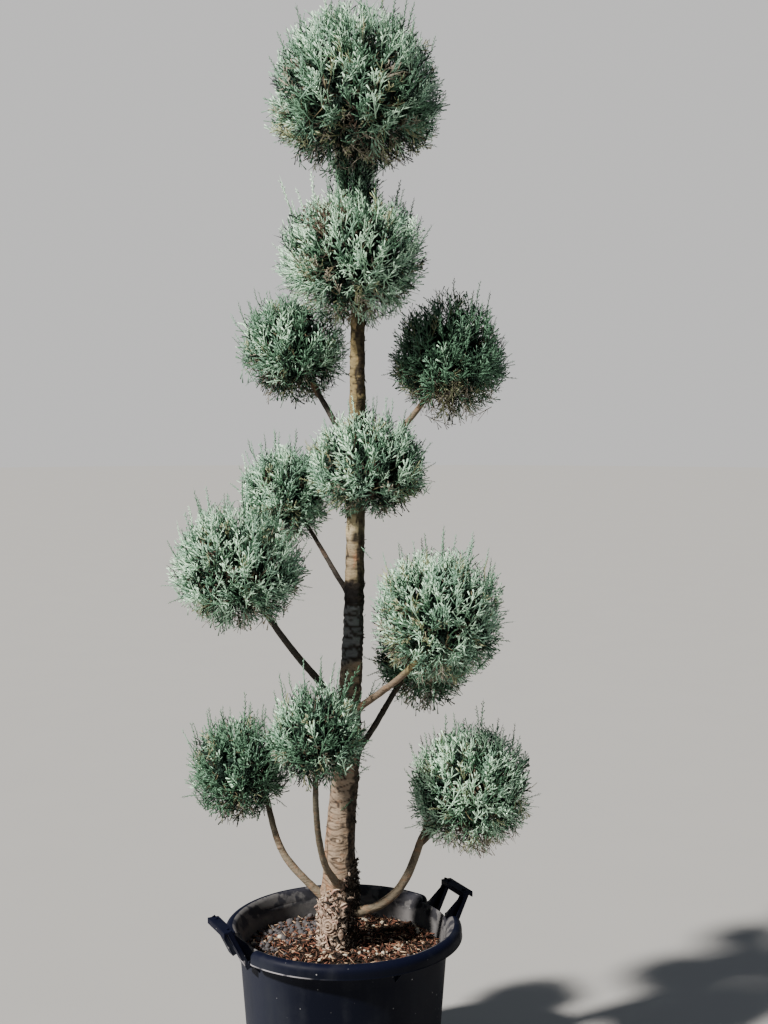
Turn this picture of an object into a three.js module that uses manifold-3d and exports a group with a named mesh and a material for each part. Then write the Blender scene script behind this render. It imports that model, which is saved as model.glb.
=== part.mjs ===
// Arizona cypress trained as a pompom tree in a black nursery container.
// Millimetres, +Z up. The origin is the centre of the container's flat underside.
import * as THREE from 'three';
import { mergeVertices } from 'three/addons/utils/BufferGeometryUtils.js';
import Module from 'manifold-3d';

const wasm = await Module();
wasm.setup();

// Clearances between separate solids
const GAP = 0.35;

// Container
const POT_HEIGHT = 420;
const POT_FOOT_RADIUS = 209;
const POT_NECK_RADIUS = 238;
const POT_WALL = 5;
const POT_FLOOR = 8;
const RIM_RADIUS = 255;
const RIM_ROLL = 15;
const RIM_LIP_Z = 392;
const RIM_WALL_RADIUS = 241;
const POT_SIDES = 36;

// Carrying handles moulded on the rim, one each side
const HANDLE_TURN = 26;
const HANDLE_HALF_SPAN = 10.6;
const HANDLE_CUT_SPAN = 14;
const HANDLE_TOP_Z = 461;
const HANDLE_FOOT_Z = 372;
const GRIP_RADIUS = 294.5;
const GRIP_DEPTH = 26;
const GRIP_THICK = 9;
const LEG_WEB = 5;
const LEG_FLANGE = 20;
const LEG_FOOT_DEPTH = 18;

// Growing medium and trunk
const SOIL_Z = 352;
const TRUNK_SIDES = 12;
const TRUNK_STEPS = 22;
// Centre of the trunk and its diameter, up to the tip inside the top ball; it is cut flat at the soil
const TRUNK = [
  { at: [-12, 0, 340], across: 88 },
  { at: [-12, 0, 400], across: 88 },
  { at: [-11, 2, 458], across: 90 },
  { at: [-8, 4, 517], across: 81 },
  { at: [-9, 5, 587], across: 67 },
  { at: [-4, 7, 670], across: 64 },
  { at: [8, 10, 790], across: 59 },
  { at: [15, 12, 932], across: 52 },
  { at: [24, 9, 1110], across: 47 },
  { at: [28, 4, 1290], across: 42 },
  { at: [33, 0, 1607], across: 37 },
  { at: [34, -3, 1739], across: 33 },
  { at: [35, -2, 1990], across: 26 },
  { at: [33, 0, 2310], across: 12 },
];

// Boughs, each from the middle of the trunk to where it enters its ball of foliage
const BOUGH_SIDES = 8;
const BOUGH_STEPS = 12;
const BOUGHS = {
  lower_left: {
    route: [[-12, 0, 448], [-45, 0, 477], [-93, 8, 521], [-130, 20, 560], [-153, 32, 603],
      [-169, 44, 657], [-179, 50, 694]],
    across: [19, 13],
  },
  lower_front: {
    route: [[-8, 0, 462], [-15, -38, 521], [-36, -80, 572], [-48, -110, 630], [-54, -128, 690],
      [-56, -142, 750], [-55, -150, 800]],
    across: [17, 12],
  },
  lower_right: {
    route: [[-10, -2, 440], [38, -14, 449], [80, -10, 461], [119, -4, 489], [147, 4, 529],
      [166, 10, 575], [183, 15, 617]],
    across: [23, 17],
  },
  left: {
    route: [[14, 10, 866], [-14, -16, 919], [-52, -34, 981], [-99, -52, 1041], [-134, -66, 1091],
      [-163, -78, 1136]],
    across: [18, 13],
  },
  right: {
    route: [[16, 10, 892], [40, -24, 922], [83, -65, 961], [130, -118, 1009], [160, -142, 1046]],
    across: [17, 13],
  },
  right_back: {
    route: [[8, 10, 772], [38, 18, 819], [67, 30, 860], [92, 50, 899], [120, 78, 940],
      [146, 104, 972]],
    across: [15, 12],
  },
  middle_left: {
    route: [[26, 10, 1130], [8, 14, 1178], [-16, 22, 1216], [-44, 38, 1262], [-72, 54, 1307]],
    across: [14, 9],
  },
  upper_left: {
    route: [[31, 2, 1462], [10, 14, 1501], [-11, 30, 1543], [-37, 48, 1589], [-70, 68, 1644]],
    across: [15, 12],
  },
  upper_right: {
    route: [[33, 2, 1436], [72, 16, 1478], [117, 32, 1526], [156, 46, 1570], [189, 58, 1614]],
    across: [16, 12],
  },
};

// Balls of foliage: centre, furthest reach sideways and upwards, and the limb each grows from
const BALLS = {
  top: { centre: [30, 0, 2272], reach: [198, 192], limb: 'trunk' },
  second: { centre: [22, 0, 1918], reach: [167, 161], limb: 'trunk' },
  middle: { centre: [55, -10, 1460], reach: [140, 129], limb: 'trunk' },
  upper_left: { centre: [-114, 90, 1724], reach: [127, 132], limb: 'upper_left' },
  upper_right: { centre: [239, 70, 1699], reach: [136, 154], limb: 'upper_right' },
  middle_left: { centre: [-132, 90, 1394], reach: [112, 121], limb: 'middle_left' },
  left: { centre: [-228, -90, 1243], reach: [150, 150], limb: 'left' },
  right: { centre: [210, -100, 1140], reach: [146, 159], limb: 'right' },
  right_back: { centre: [186, 140, 1008], reach: [118, 138], limb: 'right_back' },
  lower_left: { centre: [-241, 60, 761], reach: [121, 130], limb: 'lower_left' },
  lower_front: { centre: [-54, -160, 890], reach: [112, 118], limb: 'lower_front' },
  lower_right: { centre: [288, 20, 722], reach: [146, 155], limb: 'lower_right' },
};
const LUMP = 0.05;
const CORE_SHARE = 0.84;
const CORE_DETAIL = 3;
const TUFT_SHARE = 0.98;
const TUFT_SPACING = 0.42;
const SPRAYS = 13;
const SPRAY_ROOT = 0.55;
const SPRAY_LIFT = 0.5;
// Outline of a fan across and along, in shares of its length, and how far along it is thickest
const FAN_OUTLINE = [[0, 0], [0.62, 0.85], [0.2, 0.72], [0, 1], [-0.2, 0.72], [-0.62, 0.85]];
const FAN_MIDDLE = 0.55;
const FAN_THICK = 0.1;
const TWIGS = 5;
const TWIG_WIDTH = 5;
const TWIG_FORK = 0.25;
const TWIG_REACH = 0.8;
// How much nearer a ball's own centre its foliage stays, so that neighbours keep apart
const SPACE_MARGIN = 0.03;
const LIMB_MARGIN = 4;

// Colours and finishes
const FINISH = {
  plastic: { color: 0x1b1d24, roughness: 0.42, metalness: 0 },
  soil: { color: 0x6b4a3a, roughness: 0.95, metalness: 0 },
  bark: { color: 0x6e5a49, roughness: 0.9, metalness: 0 },
  bough: { color: 0x7c7060, roughness: 0.82, metalness: 0 },
  foliage: { color: 0x6f9389, roughness: 0.85, metalness: 0 },
};

const UP = new THREE.Vector3(0, 0, 1);
const vector = (point) => new THREE.Vector3(...point);

// Repeatable random numbers, one series for each ball of foliage
function series(seed) {
  let state = seed * 7919 + 17;
  return () => {
    state = (state * 16807) % 2147483647;
    return state / 2147483647;
  };
}

// Closed geometry to solid, and back
function solid(geometry) {
  geometry.deleteAttribute('normal');
  geometry.deleteAttribute('uv');
  const merged = mergeVertices(geometry, 1e-4);
  return new wasm.Manifold(new wasm.Mesh({
    numProp: 3,
    vertProperties: new Float32Array(merged.attributes.position.array),
    triVerts: new Uint32Array(merged.index.array),
  }));
}

function geometryOf(body) {
  const mesh = body.getMesh();
  const geometry = new THREE.BufferGeometry();
  geometry.setAttribute('position', new THREE.BufferAttribute(mesh.vertProperties, 3));
  geometry.setIndex(new THREE.BufferAttribute(mesh.triVerts, 1));
  return geometry;
}

// The largest body alone: sealed hollows are filled and loose scraps dropped
function largest(body) {
  const parts = body.decompose();
  return parts.reduce((best, part) => (part.volume() > best.volume() ? part : best));
}

// Round limb of changing thickness: a cylinder bent along a curve through the route's points
function limb(route, across, sides, steps, grow = 0) {
  const curve = new THREE.CatmullRomCurve3(route.map(vector), false, 'centripetal');
  const widths = new THREE.SplineCurve(across.map((width, i) => new THREE.Vector2(i, width)));
  const geometry = new THREE.CylinderGeometry(1, 1, 1, sides, steps);
  const position = geometry.attributes.position;
  const side = new THREE.Vector3();
  for (let i = 0; i < position.count; i += 1) {
    const share = position.getY(i) + 0.5;
    const centre = curve.getPoint(share);
    const along = curve.getTangent(share);
    const left = new THREE.Vector3(0, 1, 0).cross(along).normalize();
    const front = new THREE.Vector3().crossVectors(along, left);
    const radius = widths.getPoint(share).y / 2 + grow;
    side.copy(left).multiplyScalar(position.getX(i)).addScaledVector(front, -position.getZ(i));
    centre.addScaledVector(side, radius);
    if (share === 0) centre.addScaledVector(along, -grow);
    if (share === 1) centre.addScaledVector(along, grow);
    position.setXYZ(i, centre.x, centre.y, centre.z);
  }
  return solid(geometry);
}

// Trunk, cut flat where it meets the growing medium
function trunkBody(grow = 0) {
  const route = TRUNK.map((ring) => ring.at);
  const across = TRUNK.map((ring) => ring.across);
  const below = new THREE.BoxGeometry(2 * POT_FOOT_RADIUS, 2 * POT_FOOT_RADIUS, SOIL_Z);
  below.translate(0, 0, SOIL_Z / 2 + GAP - grow);
  return limb(route, across, TRUNK_SIDES, TRUNK_STEPS, grow).subtract(solid(below));
}

function boughBody(bough, grow = 0) {
  return limb(bough.route, bough.across, BOUGH_SIDES, BOUGH_STEPS, grow);
}

// Three-sided twig from root to tip
function twig(root, tip, width) {
  const along = tip.clone().sub(root);
  const geometry = new THREE.ConeGeometry(width, along.length(), 3, 1);
  geometry.translate(0, along.length() / 2, 0);
  const turn = new THREE.Quaternion().setFromUnitVectors(new THREE.Vector3(0, 1, 0), along.normalize());
  geometry.applyQuaternion(turn);
  geometry.translate(root.x, root.y, root.z);
  return solid(geometry);
}

// Outline of a flat fan from root to tip, with a tooth on either side
function fanEdge(root, tip, across) {
  const along = tip.clone().sub(root);
  const side = across.clone().setLength(along.length());
  return FAN_OUTLINE.map(([u, v]) => root.clone().addScaledVector(side, u).addScaledVector(along, v));
}

// Fan that is thickest in its middle
function fan(root, tip, across) {
  const along = tip.clone().sub(root);
  const edge = fanEdge(root, tip, across);
  const normal = new THREE.Vector3().crossVectors(across, along).setLength(FAN_THICK * along.length());
  const middle = root.clone().addScaledVector(along, FAN_MIDDLE);
  const front = middle.clone().add(normal);
  const back = middle.clone().sub(normal);
  const corners = edge.flatMap((point, i) => {
    const next = edge[(i + 1) % edge.length];
    return [front, point, next, back, next, point];
  });
  return solid(new THREE.BufferGeometry().setFromPoints(corners));
}

// How far a ball reaches from its centre in one direction
function reachOf(ball, direction, seed) {
  const [across, up] = ball.reach;
  const flat = Math.hypot(direction.x, direction.y) / across;
  const round = 1 / Math.hypot(flat, direction.z / up);
  const lump = Math.sin(3 * direction.x + seed) * Math.cos(4 * direction.y + 2 * seed)
    + Math.sin(5 * direction.z + 3 * seed);
  return round * (1 + LUMP * lump / 2);
}

// Clipped heart of a ball, drawn out into pointed tufts all over it
function core(ball, seed) {
  const round = new THREE.IcosahedronGeometry(1, CORE_DETAIL);
  round.deleteAttribute('normal');
  round.deleteAttribute('uv');
  const geometry = mergeVertices(round, 1e-4);
  const position = geometry.attributes.position;
  const tufts = [];
  for (let i = 0; i < position.count; i += 1) {
    const point = new THREE.Vector3().fromBufferAttribute(position, i).normalize();
    const tip = point.clone().multiplyScalar(ball.reach[0]).add(vector(ball.centre));
    const apart = tufts.every((other) => other.angleTo(point) > TUFT_SPACING);
    const raised = apart && inOwnSpace(tip, ball);
    if (raised) tufts.push(point.clone());
    const share = raised ? TUFT_SHARE : CORE_SHARE;
    point.multiplyScalar(share * reachOf(ball, point, seed)).add(vector(ball.centre));
    position.setXYZ(i, point.x, point.y, point.z);
  }
  return solid(geometry);
}

// Whether a point lies nearer, for its size, to this ball than to any other
function inOwnSpace(point, ball) {
  const share = (other) => point.distanceTo(vector(other.centre)) / other.reach[0];
  const others = Object.values(BALLS).filter((other) => other !== ball);
  return others.every((other) => share(ball) < share(other) - SPACE_MARGIN);
}

// Whether a spray from one point to another keeps clear of the trunk and boughs
function clearOfLimbs(from, to, limbs) {
  return limbs.every(({ route, across }) => {
    const curve = new THREE.CatmullRomCurve3(route.map(vector), false, 'centripetal');
    const room = Math.max(...across) / 2 + LIMB_MARGIN;
    return curve.getPoints(24).every((point) => {
      const line = new THREE.Line3(from, to);
      return line.closestPointToPoint(point, true, new THREE.Vector3()).distanceTo(point) > room;
    });
  });
}

// One spray: a fan rooted in the core that stands out of it and bends upwards
function spray(ball, direction, seed, random, limbs) {
  const centre = vector(ball.centre);
  const reach = reachOf(ball, direction, seed);
  const root = centre.clone().addScaledVector(direction, SPRAY_ROOT * reach);
  const lift = SPRAY_LIFT * Math.max(0, 1 + direction.z) / 2;
  const growth = direction.clone().addScaledVector(UP, lift).normalize();
  const tip = centre.clone().addScaledVector(direction, CORE_SHARE * reach)
    .addScaledVector(growth, (1 - CORE_SHARE) * reach * (0.85 + 0.25 * random()));
  const across = new THREE.Vector3(random() - 0.5, random() - 0.5, random() - 0.5);
  across.cross(tip.clone().sub(root));
  const inside = fanEdge(root, tip, across).every((point) => inOwnSpace(point, ball));
  return inside && clearOfLimbs(root, tip, limbs) ? [fan(root, tip, across)] : [];
}

// Evenly spread directions, each shifted a little
function directions(count, random) {
  const golden = Math.PI * (3 - Math.sqrt(5));
  return Array.from({ length: count }, (_, i) => {
    const height = 1 - (2 * i + 1) / count;
    const flat = Math.sqrt(1 - height * height);
    const turn = golden * i + 0.5 * random();
    return new THREE.Vector3(flat * Math.cos(turn), flat * Math.sin(turn), height).normalize();
  });
}

// Stem from the bough's end to the middle of the ball, with bare twigs from it into the core
function stemAndTwigs(ball, random) {
  if (ball.limb === 'trunk') return [];
  const centre = vector(ball.centre);
  const bough = BOUGHS[ball.limb];
  const end = vector(bough.route.at(-1));
  const width = bough.across[1] / 2;
  const inBough = vector(bough.route.at(-2)).sub(end).setLength(2).add(end);
  const fork = end.clone().lerp(centre, TWIG_FORK);
  const outward = centre.clone().sub(end).normalize();
  const longest = TWIG_REACH * ball.reach[0];
  const tips = directions(TWIGS, random).map((direction) => (
    direction.add(outward).setLength(longest).add(fork).sub(centre).clampLength(0, longest).add(centre)
  ));
  const twigs = tips.filter((tip) => inOwnSpace(tip, ball)).map((tip) => twig(fork, tip, TWIG_WIDTH));
  return [twig(inBough, centre, width), ...twigs];
}

// Ball of foliage, with a way cut through it for the trunk and any bough
function ballBody(name, seed) {
  const ball = BALLS[name];
  const random = series(seed);
  const upperTrunk = TRUNK.slice(-5);
  const limbs = [
    { route: upperTrunk.map((ring) => ring.at), across: upperTrunk.map((ring) => ring.across) },
    ...Object.values(BOUGHS),
  ];
  let body = core(ball, seed);
  for (const piece of stemAndTwigs(ball, random)) body = body.add(piece);
  for (const direction of directions(SPRAYS, random)) {
    for (const piece of spray(ball, direction, seed, random, limbs)) body = body.add(piece);
  }
  body = body.subtract(trunkBody(GAP));
  for (const bough of Object.values(BOUGHS)) body = body.subtract(boughBody(bough, GAP));
  return largest(body);
}

// Outside radius of the container's wall at a height
const wallRadius = (z) => POT_FOOT_RADIUS + (POT_NECK_RADIUS - POT_FOOT_RADIUS) * z / RIM_LIP_Z;

// Tapered container with a floor and a rolled rim
function potBody() {
  const rimZ = POT_HEIGHT - RIM_ROLL;
  const roll = [0, 30, 60, 90, 120, 150].map((angle) => {
    const turn = THREE.MathUtils.degToRad(angle);
    return [RIM_RADIUS + RIM_ROLL * Math.cos(turn), rimZ + RIM_ROLL * Math.sin(turn)];
  });
  const profile = [
    [0, 0],
    [POT_FOOT_RADIUS - 5, 0],
    [wallRadius(4), 4],
    [POT_NECK_RADIUS, RIM_LIP_Z],
    [RIM_RADIUS + RIM_ROLL - 1, RIM_LIP_Z],
    ...roll,
    [POT_NECK_RADIUS - POT_WALL, RIM_LIP_Z],
    [wallRadius(POT_FLOOR) - POT_WALL, POT_FLOOR],
    [0, POT_FLOOR],
    [0, 0],
  ].map(([r, z]) => new THREE.Vector2(r, z));
  const turned = new THREE.LatheGeometry(profile, POT_SIDES);
  turned.rotateX(Math.PI / 2);
  let body = solid(turned);
  for (const turn of [0, 180]) body = body.subtract(rimCut(turn));
  return body;
}

// The roll is left off between the handle's legs, where the plain wall runs up
function rimCut(turn) {
  const inner = RIM_WALL_RADIUS;
  const outer = RIM_RADIUS + 2 * RIM_ROLL;
  const half = THREE.MathUtils.degToRad(HANDLE_CUT_SPAN);
  const outline = new THREE.Shape();
  outline.absarc(0, 0, inner, -half, half, false);
  outline.absarc(0, 0, outer, half, -half, true);
  const depth = 2 * (POT_HEIGHT - RIM_LIP_Z);
  const block = new THREE.ExtrudeGeometry(outline, { depth, bevelEnabled: false, curveSegments: 4 });
  block.rotateZ(THREE.MathUtils.degToRad(HANDLE_TURN + turn));
  block.translate(0, 0, RIM_LIP_Z - 5);
  return solid(block);
}

// Carrying handle: two angled legs and a flat grip, leaning outwards
function handleBody(turn) {
  const half = GRIP_RADIUS * Math.sin(THREE.MathUtils.degToRad(HANDLE_HALF_SPAN)) - LEG_FLANGE / 2;
  const wall = wallRadius(HANDLE_FOOT_Z);
  const outline = new THREE.Shape([
    [wall - LEG_FOOT_DEPTH, HANDLE_FOOT_Z],
    [wall + LEG_FOOT_DEPTH, HANDLE_FOOT_Z],
    [GRIP_RADIUS + GRIP_DEPTH / 2, HANDLE_TOP_Z - GRIP_THICK],
    [GRIP_RADIUS + GRIP_DEPTH / 2, HANDLE_TOP_Z],
    [GRIP_RADIUS - GRIP_DEPTH / 2, HANDLE_TOP_Z],
    [RIM_WALL_RADIUS, POT_HEIGHT],
    [wall - LEG_FOOT_DEPTH, RIM_LIP_Z],
  ].map(([r, z]) => new THREE.Vector2(r, z)));
  let body = null;
  for (const side of [-1, 1]) {
    const web = new THREE.ExtrudeGeometry(outline, { depth: LEG_WEB, bevelEnabled: false });
    web.rotateX(Math.PI / 2);
    web.translate(0, side * half + LEG_WEB / 2, 0);
    const leg = solid(web);
    body = body ? body.add(leg) : leg;
    const foot = new THREE.Vector3(wall + LEG_FOOT_DEPTH - LEG_WEB / 2, side * half, HANDLE_FOOT_Z + 2);
    const head = new THREE.Vector3(GRIP_RADIUS + LEG_WEB, side * half, HANDLE_TOP_Z - GRIP_THICK / 2);
    body = body.add(flange(foot, head));
  }
  const grip = new THREE.BoxGeometry(GRIP_DEPTH, 2 * half + LEG_FLANGE, GRIP_THICK);
  grip.translate(GRIP_RADIUS, 0, HANDLE_TOP_Z - GRIP_THICK / 2);
  body = body.add(solid(grip));
  return body.subtract(potGrown()).rotate([0, 0, HANDLE_TURN + turn]);
}

// Flat strip along the outer edge of a leg
function flange(foot, head) {
  const strip = new THREE.BoxGeometry(LEG_WEB, LEG_FLANGE, foot.distanceTo(head));
  const lean = Math.atan2(head.x - foot.x, head.z - foot.z);
  strip.rotateY(lean);
  const middle = foot.clone().lerp(head, 0.5);
  strip.translate(middle.x, middle.y, middle.z);
  return solid(strip);
}

// Space that the container's wall takes up behind a handle
function potGrown() {
  const profile = [
    [0, 0],
    [POT_FOOT_RADIUS + GAP, 0],
    [POT_NECK_RADIUS + GAP, RIM_LIP_Z - GAP],
    [RIM_WALL_RADIUS + GAP, RIM_LIP_Z - GAP],
    [RIM_WALL_RADIUS + GAP, HANDLE_TOP_Z],
    [0, HANDLE_TOP_Z],
    [0, 0],
  ].map(([r, z]) => new THREE.Vector2(r, z));
  const turned = new THREE.LatheGeometry(profile, 2 * POT_SIDES);
  turned.rotateX(Math.PI / 2);
  return solid(turned);
}

// Growing medium that fills the container
function soilBody() {
  const bottom = POT_FLOOR + GAP;
  const side = (z) => wallRadius(z) - POT_WALL - GAP;
  const profile = [[0, bottom], [side(bottom), bottom], [side(SOIL_Z), SOIL_Z], [0, SOIL_Z], [0, bottom]];
  const turned = new THREE.LatheGeometry(profile.map(([r, z]) => new THREE.Vector2(r, z)), POT_SIDES);
  turned.rotateX(Math.PI / 2);
  return solid(turned);
}

const plant = new THREE.Group();

function addPiece(name, body, finish) {
  const mesh = new THREE.Mesh(geometryOf(body), new THREE.MeshStandardMaterial(FINISH[finish]));
  mesh.name = name;
  plant.add(mesh);
}

addPiece('pot', potBody(), 'plastic');
addPiece('pot_handle_right', handleBody(0), 'plastic');
addPiece('pot_handle_left', handleBody(180), 'plastic');
addPiece('growing_medium', soilBody(), 'soil');
addPiece('trunk', trunkBody(), 'bark');
for (const [name, bough] of Object.entries(BOUGHS)) {
  addPiece(`bough_${name}`, largest(boughBody(bough).subtract(trunkBody(GAP))), 'bough');
}
Object.keys(BALLS).forEach((name, i) => addPiece(`foliage_${name}`, ballBody(name, i + 1), 'foliage'));

export default plant;
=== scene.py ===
"""Arizona cypress trained as a pompom tree in a black nursery container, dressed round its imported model."""
import math

import bmesh
import bpy
import numpy as np
from bpy.props import FloatProperty, FloatVectorProperty, IntProperty, PointerProperty
from mathutils import Matrix, Vector, noise


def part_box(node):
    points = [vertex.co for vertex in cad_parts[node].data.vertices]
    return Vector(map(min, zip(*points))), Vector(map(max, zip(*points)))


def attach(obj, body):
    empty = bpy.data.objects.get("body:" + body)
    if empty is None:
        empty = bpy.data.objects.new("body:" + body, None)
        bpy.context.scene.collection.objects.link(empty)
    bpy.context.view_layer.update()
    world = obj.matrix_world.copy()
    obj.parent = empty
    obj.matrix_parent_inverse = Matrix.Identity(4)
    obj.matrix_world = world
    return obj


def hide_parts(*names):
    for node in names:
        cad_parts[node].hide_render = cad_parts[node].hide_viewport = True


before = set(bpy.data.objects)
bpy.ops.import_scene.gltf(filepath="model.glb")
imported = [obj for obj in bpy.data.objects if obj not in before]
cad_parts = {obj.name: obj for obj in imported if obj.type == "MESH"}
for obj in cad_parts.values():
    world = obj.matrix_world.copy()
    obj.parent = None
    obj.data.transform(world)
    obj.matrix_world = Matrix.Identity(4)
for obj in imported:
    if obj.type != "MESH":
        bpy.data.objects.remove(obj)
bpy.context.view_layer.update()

bl_info = {
    "name": "Pompom cypress in a nursery container",
    "version": (1, 0, 0),
    "blender": (4, 5, 0),
    "location": "View3D > Sidebar > Topiary",
    "description": "Dresses the packed model of a potted pompom cypress",
    "category": "Object",
}

UP = np.array([0.0, 0.0, 1.0])

# Container, in metres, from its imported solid
POT_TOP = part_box("pot")[1].z
SOIL_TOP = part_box("growing_medium")[1].z
POT_FOOT_RADIUS = 0.209
POT_NECK_RADIUS = 0.238
POT_NECK_Z = 0.392
POT_WALL = 0.005
POT_FLOOR = 0.008
INNER_FOOT_RADIUS = POT_FOOT_RADIUS - POT_WALL
INNER_NECK_RADIUS = POT_NECK_RADIUS - POT_WALL
POT_STEPS = 192
RIM_WALL_RADIUS = 0.241
RIM_RADIUS = 0.255
RIM_ROLL = 0.015
RIM_SHEET = 0.004
RIM_END = 0.022
# Height from which the rolled rim takes its painted sky reflection
RIM_TOP_FROM = 0.398
# Height of the wall's lip between a handle's legs and under the rolled rim
WINDOW_LIP = 0.412
ROLL_LIP = 0.397
HANDLE_TURN = math.radians(26)
HANDLE_GAP = math.radians(14)
HANDLE_HALF = 0.0442
HANDLE_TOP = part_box("pot_handle_right")[1].z
HANDLE_FOOT = 0.372
GRIP_RADIUS = 0.2945
GRIP_DEPTH = 0.026
GRIP_THICK = 0.009
LEG_FOOT_RADIUS = 0.2545
GUSSET_TURNS = (-139.5, -60, 40.5, 120)
GUSSET_THICK = 0.0032
POT_SLOPE = (POT_NECK_RADIUS - POT_FOOT_RADIUS) / POT_NECK_Z
FOOT_ROUND = 0.006
FLOOR_ROUND = 0.012
LIP_ROUND = 0.0022
# Sections of a handle's leg and grip
LEG_FLANGE = (0.0042, 0.028)
LEG_NARROWS = 0.7
LEG_LIP = (0.011, 0.003)
LEG_LIP_AT = (-0.0035, 0.0125)
LEG_LIP_NARROWS = 0.0042
LEG_WEB = 0.0034
GRIP_LIP = (0.0032, 0.012)
GRIP_PAST_LEG = 0.010
WORN_EDGE = 0.0012
# Marks on the plastic, and the colour of the painted glint along the rim's lower edge
WATER_STAIN = (0.030, 0.033, 0.040)
LIME_SPECK = (0.30, 0.30, 0.31)
PAINTED_EDGE_GLINT = (0.30, 0.29, 0.31)

# Growing medium: reach of its stones and chips, its gap to the wall, the room kept round the trunk, and the
# width and thickness of a fibre
BED_REACH = 0.225
BED_GAP = 0.004
TRUNK_ROOM = 0.043
FIBRE_WIDTH = 0.0013
FIBRE_THICK = 0.0009
MEDIUM_DARK = (0.007, 0.005, 0.004)
MEDIUM_BROWN = (0.060, 0.029, 0.017)
MEDIUM_GREY = (0.050, 0.042, 0.036)
# Tints of small things, each with its name, colour and roughness
PUMICE_TINTS = (
    ("pumice_pale", (0.46, 0.40, 0.31), 0.9),
    ("pumice_warm", (0.34, 0.21, 0.13), 0.9),
    ("pumice_grey", (0.088, 0.082, 0.087), 0.9),
    ("pumice_white", (0.66, 0.60, 0.48), 0.85),
)
CHIP_TINTS = (
    ("chip_red", (0.205, 0.084, 0.053), 0.85),
    ("chip_brown", (0.105, 0.054, 0.035), 0.9),
    ("chip_tan", (0.56, 0.40, 0.27), 0.85),
    ("chip_dark", (0.022, 0.014, 0.011), 0.95),
)
# Share of each tint
PUMICE_SHARES = (0.36, 0.22, 0.16, 0.26)
CHIP_SHARES = (0.32, 0.20, 0.11, 0.37)
# Number of the tint that most stones at the back have, and how many shapes of stone there are
BACK_TINT = 2
STONE_SHAPES = 5

# Trunk: centre and diameter, from under the growing medium to the tip inside the top ball
TRUNK = (
    ((-0.012, 0, 0.340), 0.088),
    ((-0.012, 0, 0.400), 0.088),
    ((-0.011, 0.002, 0.458), 0.090),
    ((-0.008, 0.004, 0.517), 0.081),
    ((-0.009, 0.005, 0.587), 0.067),
    ((-0.004, 0.007, 0.670), 0.064),
    ((0.008, 0.010, 0.790), 0.059),
    ((0.015, 0.012, 0.932), 0.052),
    ((0.024, 0.009, 1.110), 0.047),
    ((0.028, 0.004, 1.290), 0.042),
    ((0.033, 0, 1.607), 0.037),
    ((0.034, -0.003, 1.739), 0.033),
    ((0.035, -0.002, 1.990), 0.026),
    ((0.033, 0, 2.310), 0.012),
)

# Boughs: points from the middle of the trunk to the ball of foliage, and thickness at both ends
BOUGHS = {
    "lower_left": (
        ((-0.012, 0, 0.448), (-0.045, 0, 0.477), (-0.093, 0.008, 0.521), (-0.130, 0.020, 0.560),
         (-0.153, 0.032, 0.603), (-0.169, 0.044, 0.657), (-0.179, 0.050, 0.694)), (0.019, 0.013)),
    "lower_front": (
        ((-0.008, 0, 0.462), (-0.015, -0.038, 0.521), (-0.036, -0.080, 0.572), (-0.048, -0.110, 0.630),
         (-0.054, -0.128, 0.690), (-0.056, -0.142, 0.750), (-0.055, -0.150, 0.800)), (0.017, 0.012)),
    "lower_right": (
        ((-0.010, -0.002, 0.440), (0.038, -0.014, 0.449), (0.080, -0.010, 0.461), (0.119, -0.004, 0.489),
         (0.147, 0.004, 0.529), (0.166, 0.010, 0.575), (0.183, 0.015, 0.617)), (0.023, 0.017)),
    "left": (
        ((0.014, 0.010, 0.866), (-0.014, -0.016, 0.919), (-0.052, -0.034, 0.981),
         (-0.099, -0.052, 1.041), (-0.134, -0.066, 1.091), (-0.163, -0.078, 1.136)), (0.018, 0.013)),
    "right": (
        ((0.016, 0.010, 0.892), (0.040, -0.024, 0.922), (0.083, -0.065, 0.961), (0.130, -0.118, 1.009),
         (0.160, -0.142, 1.046)), (0.017, 0.013)),
    "right_back": (
        ((0.008, 0.010, 0.772), (0.038, 0.018, 0.819), (0.067, 0.030, 0.860), (0.092, 0.050, 0.899),
         (0.120, 0.078, 0.940), (0.146, 0.104, 0.972)), (0.015, 0.012)),
    "middle_left": (
        ((0.026, 0.010, 1.130), (0.008, 0.014, 1.178), (-0.016, 0.022, 1.216), (-0.044, 0.038, 1.262),
         (-0.072, 0.054, 1.307)), (0.014, 0.009)),
    "upper_left": (
        ((0.031, 0.002, 1.462), (0.010, 0.014, 1.501), (-0.011, 0.030, 1.543), (-0.037, 0.048, 1.589),
         (-0.070, 0.068, 1.644)), (0.015, 0.012)),
    "upper_right": (
        ((0.033, 0.002, 1.436), (0.072, 0.016, 1.478), (0.117, 0.032, 1.526), (0.156, 0.046, 1.570),
         (0.189, 0.058, 1.614)), (0.016, 0.012)),
}

TRUNK_ROUTE = [at for at, _ in TRUNK]
TRUNK_WIDTHS = [width for _, width in TRUNK]
LIMBS = {"trunk": (TRUNK_ROUTE, TRUNK_WIDTHS), **BOUGHS}

# Fineness of the bark's mesh: faces round a limb and rings up it, and how the trunk's crowd at its foot
TRUNK_MESH = (128, 520)
TRUNK_CROWD = 1.25
BOUGH_MESH = (40, 160)

# Heights between which the rough foot gives way to smooth bark, and smooth bark to ringed bark
FOOT_BARK = (0.46, 0.53)
RING_BARK = (0.64, 0.74)
# Plates of bark in each, across and up, and how much the rings spread with every metre above the first
FOOT_PLATE = (0.011, 0.022)
RING_PLATE = (0.080, 0.0165)
RING_GROWTH = 0.34
# Evenly spaced deep cracks round the grey stretch: heights, and the distance between them
GREY_RINGS = (1.005, 1.150)
GREY_RING = 0.0245
# Swirled knot near the trunk's foot: middle, size, and distance between its turns
KNOT_AT = (-0.0335, -0.0395, 0.424)
KNOT_SIZE = 0.021
KNOT_TURN = 0.0068
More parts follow.
